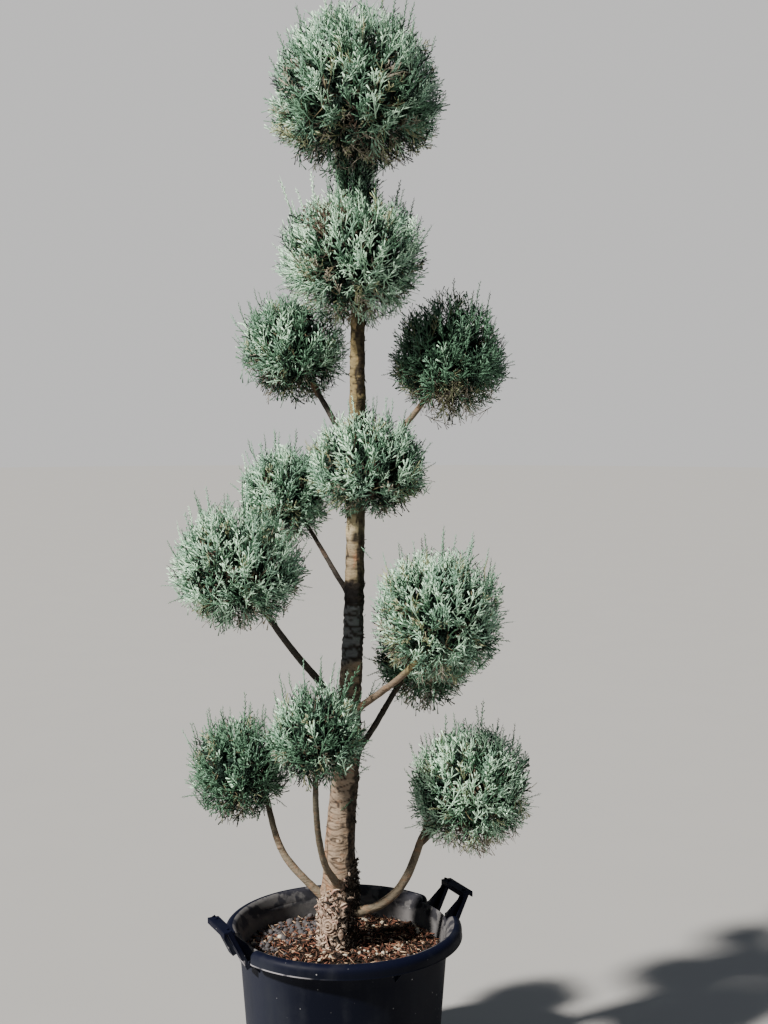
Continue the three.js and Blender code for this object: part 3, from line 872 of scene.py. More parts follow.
def bark_limb(name, limb, fineness, relief, crowd=1.0):
    """Limb with modelled bark: a cylinder bent along the limb's curve and raised by a relief function.

    The relief function gets each bare point, the limb's middle and radius there, and its share of the route.
    It gives back how far each point is raised, and its plate, its darkness from cracks and painted shade, and
    rust.
    """
    route, widths = limb
    sides, rings = fineness
    bm = bmesh.new()
    bmesh.ops.create_cone(bm, cap_ends=True, segments=sides, radius1=1, radius2=1, depth=1)
    upright = [edge for edge in bm.edges if abs(edge.verts[0].co.z - edge.verts[1].co.z) > 0.5]
    bmesh.ops.subdivide_edges(bm, edges=upright, cuts=rings - 1)
    corners = np.array([vertex.co for vertex in bm.verts])
    shares = np.clip(corners[:, 2] + 0.5, 0, 1) ** crowd
    centre = limb_curve(route, shares)
    along = unit(limb_curve(route, shares + 0.004) - limb_curve(route, shares - 0.004))
    left = unit(np.cross([0.0, 1.0, 0.0], along))
    front = np.cross(along, left)
    out = corners[:, :1] * left + corners[:, 1:2] * front
    radius = limb_widths(widths, shares) / 2
    bare = centre + radius[:, None] * out
    raised, plate, crack_and_shade, rust = relief(bare, centre, radius, shares)
    places = bare + raised[:, None] * out
    for vertex, place in zip(bm.verts, places):
        vertex.co = place
    mesh = mesh_of(bm, name, merge=False)
    for key, values in (("plate", plate), ("crack_and_shade", crack_and_shade), ("rust", rust)):
        mesh.attributes.new(key, "FLOAT", "POINT").data.foreach_set("value", values.astype(np.float32))
    return mesh


def plates(points, across, up):
    """Random number of each point's plate of bark, and how near it is to the crack between plates."""
    plate, edge = np.empty(len(points)), np.empty(len(points))
    for i, (x, y, z) in enumerate(points):
        wave = 0.45 * noise.noise((26 * x, 26 * y, 12 * z))
        distances, cells = noise.voronoi((x / across, y / across, z / up + wave))
        plate[i] = noise.cell(cells[0] * 7.3)
        edge[i] = distances[1] - distances[0]
    return plate, edge


def cloudy(points, scale):
    """Smooth noise between -1 and 1 at each point."""
    return np.array([noise.noise(point) for point in points * scale])


def smooth_step(values, low, high):
    """Smooth rise from 0 to 1 as values go from low to high."""
    t = np.clip((values - low) / (high - low), 0, 1)
    return t * t * (3 - 2 * t)


def away_from(points, place):
    """Distance of each point from a place."""
    return np.linalg.norm(points - np.array(place), axis=1)


def trunk_relief(bare, centre, radius, _):
    """Relief of the trunk: small plates at the foot, rings of cracks above, swollen collars and marks, and
    painted shade.
    """
    relief = bpy.context.scene.topiary_wood.relief
    height = bare[:, 2]
    foot = 1 - smooth_step(height, *FOOT_BARK)
    rings = smooth_step(height, *RING_BARK)
    foot_plate, foot_edge = plates(bare, *FOOT_PLATE)
    spaced = bare - np.outer(RING_GROWTH * np.maximum(height - 1.0, 0), UP)
    ring_plate, ring_edge = plates(spaced, *RING_PLATE)
    foot_crack = 1 - smooth_step(foot_edge, 0.0, 0.22)
    ring_crack = 1 - smooth_step(ring_edge, 0.0, 0.12)
    crack_and_shade = foot * foot_crack + (1 - foot) * ring_crack * (0.78 + 0.17 * rings)
    plate = foot * foot_plate + (1 - foot) * ring_plate
    raised = relief * foot * (1.5 * foot_plate - 0.6 - 0.6 * foot_crack)
    raised += 0.4 * relief * (1 - foot) * (0.4 + 0.6 * rings) * (ring_plate - ring_crack)
    raised += 0.0016 * cloudy(bare, 32) + 0.0006 * cloudy(bare, 110)
    raised += collars(bare)
    side = (bare[:, 0] - centre[:, 0]) / radius
    smooth = (1 - foot) * (1 - rings)
    mark_knot(bare, raised, plate, crack_and_shade)
    mark_painted_shade(bare, side, smooth, raised, crack_and_shade)
    mark_grey_rings(bare, raised, crack_and_shade)
    mark_scars(bare, raised, plate, crack_and_shade)
    return raised, plate, np.clip(crack_and_shade, 0, 1), rusty(bare, side, smooth)


def collars(bare):
    """How far the trunk swells where each bough leaves it."""
    swollen = np.zeros(len(bare))
    for route, (thick, _) in BOUGHS.values():
        root = limb_curve(route, np.linspace(0, 0.25, 12))
        apart = np.linalg.norm(bare[:, None] - root[None], axis=2).min(axis=1)
        swollen += 0.24 * thick * np.exp(-(apart / (0.62 * thick)) ** 2)
    return swollen


def mark_knot(bare, raised, plate, crack_and_shade):
    """Adds the swirled knot to the trunk's relief."""
    away = away_from(bare, KNOT_AT)
    spiral = np.arctan2(bare[:, 2] - KNOT_AT[2], bare[:, 0] - KNOT_AT[0])
    swirl = np.cos(2 * math.pi * away / KNOT_TURN + spiral)
    swirl *= smooth_step(away, 1.3 * KNOT_SIZE, 0.7 * KNOT_SIZE)
    knot = np.exp(-(away / KNOT_SIZE) ** 2)
    raised += 0.007 * knot + 0.0021 * swirl
    crack_and_shade[:] = np.maximum(crack_and_shade * (1 - knot), 0.9 * smooth_step(-swirl, 0.0, 0.8) * knot)
    plate[:] = np.maximum(plate, 0.9 * knot)


def mark_painted_shade(bare, side, smooth, raised, crack_and_shade):
    """Adds painted shade on the trunk's right side, away from the sun, and the dark edge of its smooth bark
    on the left.
    """
    levels, begins, strength = zip(*PAINTED_SHADE_SIDE)
    # Painted shade: past this line the bark turns dark, as the side away from the sun
    past_shade_line = side - np.interp(bare[:, 2], levels, begins) - 0.35 * cloudy(bare * np.array([1, 1, 0.6]), 70)
    painted_shade = smooth_step(past_shade_line, 0.0, 0.14) * np.interp(bare[:, 2], levels, strength)
    raised += 0.0012 * painted_shade * smooth
    crack_and_shade[:] = np.maximum(crack_and_shade, painted_shade * (0.90 + 0.30 * cloudy(bare, 130)))
    edge = np.abs(side + 0.72 + 0.30 * cloudy(bare * np.array([1, 1, 0.5]), 45))
    broken = smooth_step(cloudy(bare, 35), -0.3, 0.1)
    crack_and_shade[:] = np.maximum(crack_and_shade, 0.75 * smooth_step(-edge, -0.07, -0.03) * smooth * broken)


def mark_grey_rings(bare, raised, crack_and_shade):
    """Adds the deep cracks round the trunk's grey stretch, and the rougher bark there and above it."""
    height = bare[:, 2]
    low, high = GREY_RINGS
    wavy = height + 0.004 * cloudy(bare, 28) + 0.0015 * cloudy(bare, 120)
    ring = smooth_step(np.cos(2 * math.pi * wavy / GREY_RING), 0.72, 0.95)
    ring *= smooth_step(height, low, low + 0.01) * (1 - smooth_step(height, high, high + 0.01))
    crack_and_shade[:] = np.maximum(crack_and_shade, ring)
    rough = smooth_step(height, 0.66, 0.76) * (1 - smooth_step(height, 1.20, 1.26))
    raised += rough * (0.0022 * cloudy(bare * np.array([1, 1, 2.2]), 60) - 0.0012 * ring)


def mark_scars(bare, raised, plate, crack_and_shade):
    """Adds the scars of cut boughs to a limb's relief: a swollen ring with a dark line inside it."""
    for place, size in SCARS:
        away = np.linalg.norm((bare - np.array(place)) * np.array([0.82, 0.4, 2.2]), axis=1)
        ring = np.exp(-((away - size) / (0.22 * size)) ** 2)
        raised += 0.19 * size * ring - 0.14 * size * np.exp(-(away / (0.5 * size)) ** 2)
        line = np.exp(-((away - 0.68 * size) / (0.19 * size)) ** 2)
        inside = smooth_step(-away, -0.75 * size, -0.5 * size)
        beside = (place[0] + 0.4 * size, place[1], place[2])
        cut = smooth_step(-away_from(bare, beside), -0.42 * size, -0.3 * size)
        crack_and_shade[:] = np.maximum(crack_and_shade * (1 - ring), np.maximum(0.95 * line, 0.55 * inside)) * (1 - cut)
        plate[:] = np.maximum(plate, cut)


def rusty(bare, side, smooth):
    """Share of rust on the trunk: along the left of its smooth bark, and in the rusty marks."""
    rust = 0.7 * smooth_step(-side + 0.35 * cloudy(bare, 90), 0.72, 1.0) * smooth
    for place, size in RUST_AT:
        away = away_from(bare, place) / size
        rust = np.maximum(rust, 0.9 * smooth_step(-away + 0.5 * cloudy(bare, 120), -1.0, -0.6))
    return rust


def bough_relief(bare, _, radius, shares):
    """Relief of a bough: smooth thin bark with low knots and a collar at the trunk."""
    knots = smooth_step(cloudy(bare, 24), 0.30, 0.70)
    plate, edge = plates(bare, 0.030, 0.020)
    crack_and_shade = (1 - smooth_step(edge, 0.0, 0.10)) * 0.45 * smooth_step(cloudy(bare, 33), -0.1, 0.4)
    collar = 0.22 * radius[0] * np.exp(-((shares - 0.10) / 0.06) ** 2)
    raised = 0.0016 * knots + 0.0006 * cloudy(bare, 70) - 0.0003 * crack_and_shade + collar
    plate = 0.5 * plate
    mark_scars(bare, raised, plate, crack_and_shade)
    return raised, plate, crack_and_shade, 0.5 * smooth_step(cloudy(bare, 21), 0.30, 0.60)


def flake_template(curl, jag):
    """Thin flake of bark that curls outwards: rooted at the origin, free end along Z, lifted along X."""
    rows = []
    for share, half in ((0, 0.5), (0.5, 0.46), (1, 0.5 * jag)):
        lift = 0.10 + curl * share**2
        for side in (-1, 1):
            skew = 0.12 * side * share
            rows += [(lift, side * half, share + skew), (lift - 0.09, side * half, share + skew)]
    points = np.array(rows)
    quads = [(0, 4, 6, 2), (4, 8, 10, 6), (1, 3, 7, 5), (5, 7, 11, 9), (0, 1, 5, 4), (4, 5, 9, 8),
             (2, 6, 7, 3), (6, 10, 11, 7), (0, 2, 3, 1), (8, 9, 11, 10)]
    return points, np.array([triangle for a, b, c, d in quads for triangle in ((a, b, c), (a, c, d))])


def bark_flakes():
    """Loose curling flakes: thick at the foot, and a few on the side that the sun doesn't reach above it."""
    chance = np.random.default_rng(FLAKE_SEED)
    count = FLAKES
    height = chance.uniform(SOIL_TOP, FOOT_BARK[1] + 0.04, count)
    above = chance.random(count) < FLAKES_ABOVE
    height = np.where(above, chance.uniform(FOOT_BARK[1], FLAKES_UP_TO, count), height)
    shares = np.interp(height, [at[2] for at in TRUNK_ROUTE], np.linspace(0, 1, len(TRUNK_ROUTE)))
    turn = chance.uniform(0, 2 * math.pi, count)
    out = np.stack([np.cos(turn), np.sin(turn), np.zeros(count)], axis=1)
    lean = chance.normal(0, 1.3, count)[:, None]
    across = np.cross(UP, out) * np.sign(chance.random(count) - 0.4)[:, None]
    along = unit(across + lean * UP + 0.12 * out)
    radius = limb_widths(TRUNK_WIDTHS, shares) / 2 + 0.0004
    places = limb_curve(TRUNK_ROUTE, shares) + radius[:, None] * out
    length = (0.007 + 0.010 * chance.random(count)) * np.where(height > 0.72, 0.55, 1)
    width = chance.uniform(0.22, 0.42, count) * length
    bare_front = above & (out[:, 0] < 0.75) & (out[:, 1] < 0.3) & (chance.random(count) < 0.9)
    keep = ~bare_front & (away_from(places, KNOT_AT) > 1.15 * KNOT_SIZE)
    keep &= above | (height < 0.525 + 0.042 * out[:, 0])
    turns = facing(along, out) * np.stack([length * 0.5, width, length], axis=1)[:, None, :]
    kinds = chance.integers(0, len(FLAKE_SHAPES), count)
    tints = chance.choice(len(FLAKE_TINTS), count, p=FLAKE_SHARES)
    # Painted shade: every flake above the foot, and most on the trunk's right side, take the darkest tint
    shaded = above | (out[:, 0] > 0.22) & (chance.random(count) < 0.92)
    tints = np.where(shaded, len(FLAKE_TINTS) - 1, tints)
    heap = Heap()
    for kind, shape in enumerate(FLAKE_SHAPES):
        chosen = keep & (kinds == kind)
        heap.add(flake_template(*shape), turns[chosen], places[chosen], tints[chosen])
    return heap.mesh("bark_flakes")


# Foliage

def directions(count, chance):
    """Evenly spread directions, each shifted a little."""
    height = 1 - (2 * np.arange(count) + 1) / count
    flat = np.sqrt(1 - height**2)
    turn = math.pi * (3 - math.sqrt(5)) * np.arange(count) + 0.5 * chance.random(count)
    spread = np.stack([flat * np.cos(turn), flat * np.sin(turn), height], axis=1)
    return unit(spread + chance.normal(0, 0.25 / math.sqrt(count), (count, 3)))


def ball(name):
    """Middle, reach and number of a ball."""
    centre, reach = BALLS[name]
    return np.array(centre), reach, list(BALLS).index(name) + 1


def reach_of(name, toward):
    """How far a ball reaches from its centre in each direction."""
    _, (across, up), number = ball(name)
    x, y, z = toward.T
    smooth = 1 / np.hypot(np.hypot(x, y) / across, z / up)
    lump = np.sin(3 * x + number) * np.cos(4 * y + 2 * number) + np.sin(5 * z + 3 * number)
    return smooth * (1 + LUMP * lump / 2)


def in_own_space(name, points, margin=SPACE_MARGIN):
    """Whether each point lies nearer, for its size, to this ball than to any other."""
    shares = {key: np.linalg.norm(points - np.array(centre), axis=1) / reach[0]
              for key, (centre, reach) in BALLS.items()}
    own = shares.pop(name)
    return own < np.min(list(shares.values()), axis=0) - margin


LIMB_POINTS, LIMB_RADII = limb_samples()


def clear_of_limbs(starts, ends):
    """Whether each line from start to end keeps clear of the trunk and boughs."""
    line = (ends - starts)[:, None]
    away = LIMB_POINTS[None] - starts[:, None]
    share = np.clip((away * line).sum(2) / np.maximum((line**2).sum(2), 1e-9), 0, 1)
    gap = np.linalg.norm(away - share[..., None] * line, axis=2)
    return (gap > LIMB_RADII[None] + LIMB_MARGIN).all(axis=1)


def plume_template(seed, width, cords, longest, twins):
    """Plume of unit length: a bent axis with cords in a spiral, some of them with a cord of their own."""
    chance = np.random.default_rng(seed)
    bend = chance.normal(0, 0.07, 2)
    axis = np.array([(*(bend * math.sin(2.4 * share)), share) for share in (0, 0.45, 1)])
    shapes = [strand(axis, [width, 0.95 * width, 0])]

    def add_cord(root, onward, length, turn):
        spread = math.radians(chance.uniform(20, 44))
        side = square_to(onward, np.array([math.cos(turn), math.sin(turn), 0.1]))
        away = math.cos(spread) * onward + math.sin(spread) * side
        shapes.append(cord(root, root + length * away, width))
        return away

    for i in range(cords):
        share = 0.12 + 0.70 * i / (cords - 1)
        root = np.array([np.interp(share, axis[:, 2], axis[:, k]) for k in range(3)])
        length = longest * (1 - 0.40 * share) * chance.uniform(0.75, 1.25)
        turn = SPIRAL * i + chance.normal(0, 0.3)
        away = add_cord(root, UP, length, turn)
        if i % 2 == 0 and i // 2 < twins:
            add_cord(root + 0.4 * length * away, away, 0.7 * length, turn + 1.6)
    return joined(shapes)


def layer_places(name, kind, settings, chance):
    """Root, tip and kind of the sprays in one layer of a ball."""
    centre, reach, number = ball(name)
    (low, high), share = LAYERS[kind]
    surface = 4 * math.pi * reach[0] * (reach[0] + reach[1]) / 2
    total = settings.density * surface
    toward = directions(int(share * total), chance)
    count = len(toward)
    tuft = cloudy(toward + 10 * number, TUFT_SCALE)
    below = smooth_step(-toward[:, 2], 0.30, 0.95)
    ends = chance.uniform(low, high, count) + TUFT_DEPTH * tuft
    tips = centre + toward * (ends * reach_of(name, toward))[:, None]
    lift = settings.lift * (0.1 + 0.9 * smooth_step(toward[:, 2], -0.8, 0.3))
    growth = unit(toward + lift[:, None] * UP + chance.normal(0, GROWTH_SPREAD, (count, 3)))
    length = settings.length * chance.uniform(0.75, 1.30, count)
    keep = chance.random(count) < 1 + np.minimum(tuft, 0) - THIN_BELOW * below
    bare = (kind != "core") & (chance.random(count) < BARE_BELOW.get(name, BARE_ELSEWHERE) * below)
    starts = tips - length[:, None] * growth
    return starts[keep], tips[keep], np.where(bare, "bare", kind)[keep]


def shoot_places(name, settings, chance):
    """Root, tip and kind of a ball's upright shoots."""
    centre, reach, _ = ball(name)
    toward = directions(int(SHOOTS * reach[0] / SHOOTS_ON), chance)
    toward = toward[toward[:, 2] > SHOOTS_FROM]
    count = len(toward)
    rising = 0.15 + 0.95 * smooth_step(toward[:, 2], -0.3, 0.5)
    growth = unit(0.42 * toward + rising[:, None] * UP + chance.normal(0, 0.10, (count, 3)))
    upper = smooth_step(toward[:, 2], -0.1, 0.6)
    taller = SPIRES.get(name, SPIRE) * upper * chance.random(count) ** 1.4
    length = settings.length * (chance.uniform(0.5, 0.95, count) + taller)
    starts = centre + toward * (SHOOT_ROOT * reach_of(name, toward))[:, None]
    return starts, starts + length[:, None] * growth, np.full(count, "shoot")


def spray_places(name, settings):
    """Root, tip and kind of every spray of a ball by a seeded rule, and the draws that go on from it."""
    chance = np.random.default_rng(SPRAY_SEED + ball(name)[2])
    groups = [layer_places(name, kind, settings, chance) for kind in LAYERS]
    groups.append(shoot_places(name, settings, chance))
    starts, tips, kinds = (np.concatenate(parts) for parts in zip(*groups))
    margin = np.where((kinds == "shoot") & (name in SPIRES), SPIRE_MARGIN, SPACE_MARGIN)
    good = in_own_space(name, tips, margin) & in_own_space(name, starts, margin)
    groups = [(starts[good], tips[good], kinds[good])]
    if name == NECK_ON:
        groups.append(neck_places(settings, chance))
    starts, tips, kinds = (np.concatenate(parts) for parts in zip(*groups))
    good = clear_of_limbs(starts, tips)
    return starts[good], tips[good], kinds[good], chance


def neck_places(settings, chance):
    """Root, tip and kind of the sprays that hide the trunk between the two highest balls."""
    height = chance.uniform(*NECK_HEIGHTS, NECK_SPRAYS)
    turn = chance.uniform(0, 2 * math.pi, NECK_SPRAYS)
    out = np.stack([np.cos(turn), np.sin(turn), np.zeros(NECK_SPRAYS)], axis=1)
    middle = np.array([TRUNK_ROUTE[-1][0], 0, 0]) + height[:, None] * UP
    starts = middle + chance.uniform(0.45, 0.62, NECK_SPRAYS)[:, None] * NECK_REACH * out
    rise = settings.length * chance.uniform(0.6, 0.9, NECK_SPRAYS)
    tips = starts + rise[:, None] * UP + chance.uniform(0.3, 0.6, NECK_SPRAYS)[:, None] * NECK_REACH * out
    kinds = np.where(chance.random(NECK_SPRAYS) < 0.3, "outer", "inner")
    return starts, tips, kinds


def spray_tints(name, tips, kinds, chance):
    """Number of every spray's tint: dealt out by its kind, then changed for the look of its own ball."""
    centre, reach, _ = ball(name)
    count = len(tips)
    place = (tips - centre) / reach[1]
    worn = (cloudy(place + centre * 3, 1.9) - 0.5 * place[:, 2] > 0.25) & (chance.random(count) < 0.4)
    tint = np.empty(count, int)
    for kind, shares in TINT_SHARES.items():
        chosen = kinds == kind
        tint[chosen] = chance.choice(len(shares), chosen.sum(), p=shares)
    faded = chance.choice([GREEN, STRAW, BARE], count, p=(0.45, 0.30, 0.25))
    tint = np.where(worn & (kinds == "outer"), faded, tint)
    tint = np.where((tint == GLAUCOUS) & (chance.random(count) < FROSTIER.get(name, 0)), FROSTED, tint)
    tint = np.where((tint < GREEN) & (chance.random(count) < DULLER.get(name, 0)), GREEN, tint)
    # Painted shade: outer sprays under a ball turn the darkest green
    below = smooth_step(-place[:, 2], 0.35, 0.75) * SHADY_BELOW.get(name, 0)
    tint = np.where((kinds == "outer") & (chance.random(count) < below), DEEP_SHADE, tint)
    if name in DEAD_AT:
        middle, size = DEAD_AT[name]
        dead = np.linalg.norm((tips - np.array(middle)) / np.array(size), axis=1) < 1
        tint = np.where(dead & (chance.random(count) < DEAD_SHARE), OLD, tint)
    return tint


def ball_sprays(name, templates, places):
    """All sprays of one ball as one mesh."""
    starts, tips, kinds, chance = places
    count = len(starts)
    length = np.linalg.norm(tips - starts, axis=1)
    turns = facing(unit(tips - starts), chance.normal(0, 1, (count, 3))) * length[:, None, None]
    tint = spray_tints(name, tips, kinds, chance)
    heap = Heap()
    for kind, shapes in templates.items():
        which = chance.integers(0, len(shapes), count)
        for number, shape in enumerate(shapes):
            chosen = (kinds == kind) & (which == number)
            heap.add(shape, turns[chosen], starts[chosen], tint[chosen])
    return heap.mesh(f"sprays_{name}")


def lone_shoots(shapes):
    """Lone shoots on the trunk and between the boughs as one mesh."""
    heap = Heap()
    for number, (root, tip) in enumerate(np.array(LONE_SHOOTS)):
        length = np.linalg.norm(tip - root)
        turn = facing((tip - root)[None] / length, UP[None]) * length
        heap.add(shapes[number], turn, root[None], np.array([(GLAUCOUS, GREEN)[number % 2]]))
    return heap.mesh("lone_shoots")


def nearest(points, others):
    """Number of the nearest of some other points to each point."""
    return np.linalg.norm(points[:, None] - others[None], axis=2).argmin(axis=1)


def ball_twigs(name, places):
    """Arms, branchlets and fine twigs that carry a ball's sprays."""
    centre, reach, number = ball(name)
    chance = np.random.default_rng(TWIG_SEED + number)
    toward = unit(directions(ARMS, chance) + 0.2 * UP)
    arm_ends = centre + toward * (ARM_REACH * reach_of(name, toward))[:, None]
    heap = Heap()

    def put(route, widths, tint):
        heap.add(strand(route, widths), np.eye(3)[None], np.zeros((1, 3)), np.array([tint]))

    if name in BOUGHS:
        stem = limb_curve(carried_on(name)[0], INNER_STEM)
        roots = stem[chance.integers(0, len(stem), ARMS)]
        _, (_, thin) = BOUGHS[name]
        thick = 0.6 * thin
    else:
        low, high = centre[2] - 0.85 * reach[1], centre[2] + 0.5 * reach[1]
        heights = np.clip(arm_ends[:, 2] - 0.45 * reach[1], low, high)
        trunk = limb_curve(TRUNK_ROUTE, np.linspace(0, 1, 300))
        roots = np.stack([np.interp(heights, trunk[:, 2], trunk[:, k]) for k in range(3)], axis=1)
        thick = TRUNK_ARM
    knuckles = []
    for root, end in zip(roots, arm_ends):
        middle = 0.5 * (root + end) + chance.normal(0, 0.006, 3)
        arm = limb_curve([root, middle, end], np.linspace(0, 1, 5))
        put(arm, thick * ARM_TAPER, 0)
        knuckles += list(arm[2:])
    knuckles = np.array(knuckles)
    toward = unit(directions(BRANCHLETS, chance) + 0.1 * UP)
    ends = centre + toward * (BRANCHLET_REACH * reach_of(name, toward))[:, None]
    good = in_own_space(name, ends) & clear_of_limbs(ends, ends)
    joints = [knuckles]
    for end in ends[good]:
        root = knuckles[away_from(knuckles, end).argmin()]
        middle = 0.5 * (root + end) + chance.normal(0, 0.005, 3)
        put([root, middle, end], BRANCHLET_WIDTHS, 0)
        joints.append(np.array([middle, end]))
    joints = np.vstack(joints)
    starts, tips = places[:2]
    parents = joints[nearest(starts, joints)]
    for root, start, spray in zip(parents, starts, tips - starts):
        middle = 0.5 * (root + start) - 0.1 * spray
        put([root, middle, start + 0.06 * spray], TWIG_WIDTHS, int(chance.integers(1, len(TWIG_TINTS))))
    return heap.mesh(f"twigs_{name}")


# Operators

class TOPIARY_OT_container(bpy.types.Operator):
    """Builds the nursery container with its rolled rim and carrying handles"""

    bl_idname = "topiary.container"
    bl_label = "Container"

    def execute(self, context):
        material = plastic_material(context.scene.topiary_container)
        finish_piece(self.wall(), [material], "container_plastic", "pot")
        finish_piece(self.rim(), [material], "container_plastic")
        finish_piece(self.gussets(), [material], "container_plastic")
        for side, turn in (("right", 0), ("left", math.pi)):
            handle = self.handle(f"handle_{side}", turn)
            piece = finish_piece(handle, [material], "container_plastic", f"pot_handle_{side}")
            bevel = piece.modifiers.new("Worn edges", "BEVEL")
            bevel.width = WORN_EDGE
            bevel.segments = 2
        return {"FINISHED"}

    @staticmethod
    def wall():
        """Tapered wall with its floor, thicker at the rim, and a rounded foot and lip."""
        neck = POT_NECK_Z - 0.006
        outside = [(POT_FOOT_RADIUS + POT_SLOPE * z, z) for z in np.linspace(FOOT_ROUND, neck, 12)]
        inside = [(INNER_FOOT_RADIUS + POT_SLOPE * z, z) for z in np.linspace(neck, 0.02, 12)]
        lip = WINDOW_LIP - LIP_ROUND
        profile = [
            (0, 0),
            *arc((POT_FOOT_RADIUS - 0.0055, FOOT_ROUND), FOOT_ROUND, -90, -5, 5),
            *outside[1:],
            (RIM_WALL_RADIUS, POT_NECK_Z),
            (RIM_WALL_RADIUS, lip),
            *arc((RIM_WALL_RADIUS - LIP_ROUND, lip), LIP_ROUND, 0, 180, 8),
            (INNER_NECK_RADIUS + 0.0006, POT_NECK_Z + 0.001),
            *inside,
            *arc((INNER_FOOT_RADIUS - FLOOR_ROUND, POT_FLOOR + FLOOR_ROUND), FLOOR_ROUND, 0, -90, 5),
            (0, POT_FLOOR),
        ]
        bm = bmesh.new()
        spun(bm, profile, POT_STEPS)
        lips = [vertex for vertex in bm.verts if vertex.co.z > POT_NECK_Z + 0.002]
        for vertex in lips:
            hidden = smooth_step(np.array(beside_handle(vertex.co)), 0.003, 0.012)
            top = WINDOW_LIP + (ROLL_LIP - WINDOW_LIP) * float(hidden)
            share = (top - POT_NECK_Z) / (WINDOW_LIP - POT_NECK_Z)
            vertex.co.z = POT_NECK_Z + (vertex.co.z - POT_NECK_Z) * share
        return mesh_of(bm, "pot_wall")

    @staticmethod
    def rim():
        """Rolled rim in two stretches whose ends are rounded off beside the handles."""
        centre = (RIM_RADIUS, POT_TOP - RIM_ROLL)
        bottom = POT_NECK_Z - 0.0015
        outer = RIM_RADIUS + RIM_ROLL
        profile = [
            (INNER_NECK_RADIUS + 0.0004, POT_NECK_Z - 0.006),
            (INNER_NECK_RADIUS + 0.0014, POT_NECK_Z + 0.003),
            (INNER_NECK_RADIUS + 0.0042, POT_NECK_Z + 0.012),
            (INNER_NECK_RADIUS + 0.0082, POT_NECK_Z + 0.0185),
            *arc(centre, RIM_ROLL, 146, 0, 18),
            (outer + 0.0002, bottom + 0.004),
            *arc((outer - 0.0008, bottom + 0.0014), 0.0018, 60, -160, 6),
            (outer - RIM_SHEET, bottom + 0.005),
            *arc(centre, RIM_ROLL - RIM_SHEET, 0, 150, 10),
            (POT_NECK_RADIUS + 0.002, POT_NECK_Z + 0.004),
            (POT_NECK_RADIUS - 0.001, POT_NECK_Z - 0.006),
        ]
        anchor = Vector((POT_NECK_RADIUS - 0.001, 0, POT_NECK_Z + 0.002))
        bm = bmesh.new()
        arc_length = math.pi - 2 * HANDLE_GAP
        for turn in (0, math.pi):
            start = HANDLE_TURN + HANDLE_GAP + turn
            spun(bm, profile, 150, start, arc_length)
        for vertex in bm.verts:
            share = min(1, max(0, beside_handle(vertex.co) / RIM_END))
            shrink = max(math.sqrt(1 - (1 - share) ** 2.2), 0.05)
            radius = math.hypot(vertex.co.x, vertex.co.y)
            wanted = anchor.x + (radius - anchor.x) * shrink
            vertex.co.x *= wanted / radius
            vertex.co.y *= wanted / radius
            vertex.co.z = anchor.z + (vertex.co.z - anchor.z) * shrink
        ends = [edge for edge in bm.edges if edge.is_boundary]
        bmesh.ops.holes_fill(bm, edges=ends, sides=0)
        return mesh_of(bm, "pot_rim")

    @staticmethod
    def gussets():
        """Small upright ribs that stiffen the rim from below."""
        outline = (
            (POT_NECK_RADIUS - 0.004, POT_NECK_Z + 0.002), (RIM_RADIUS + 0.010, POT_NECK_Z + 0.002),
            (RIM_RADIUS + 0.009, POT_NECK_Z - 0.003), (POT_NECK_RADIUS - 0.001, POT_NECK_Z - 0.030),
            (POT_NECK_RADIUS - 0.004, POT_NECK_Z - 0.030))
        bm = bmesh.new()
        for degrees in GUSSET_TURNS:
            corners = slab(bm, outline, -GUSSET_THICK / 2, GUSSET_THICK)
            around = Matrix.Rotation(math.radians(degrees), 3, "Z")
            bmesh.ops.rotate(bm, verts=corners, cent=(0, 0, 0), matrix=around)
        return mesh_of(bm, "pot_gussets", smooth=False)

    @staticmethod
    def handle(name, turn):
        """Carrying handle: two leaning channel legs under a flat grip."""
        bm = bmesh.new()
        for half in (-HANDLE_HALF, HANDLE_HALF):
            TOPIARY_OT_container.leg(bm, half)
        long = 2 * (HANDLE_HALF + GRIP_PAST_LEG)
        block(bm, (GRIP_DEPTH, long, 0.55 * GRIP_THICK), (GRIP_RADIUS, 0, HANDLE_TOP - 0.3 * GRIP_THICK))
        lip, tall = GRIP_LIP
        for edge in (-0.5, 0.5):
            across = GRIP_RADIUS + edge * (GRIP_DEPTH - lip)
            block(bm, (lip, long, tall), (across, 0, HANDLE_TOP - 0.0015 - tall / 2))
        around = Matrix.Rotation(HANDLE_TURN + turn, 3, "Z")
        bmesh.ops.rotate(bm, verts=bm.verts, cent=(0, 0, 0), matrix=around)
        return mesh_of(bm, name, smooth=False, merge=False)

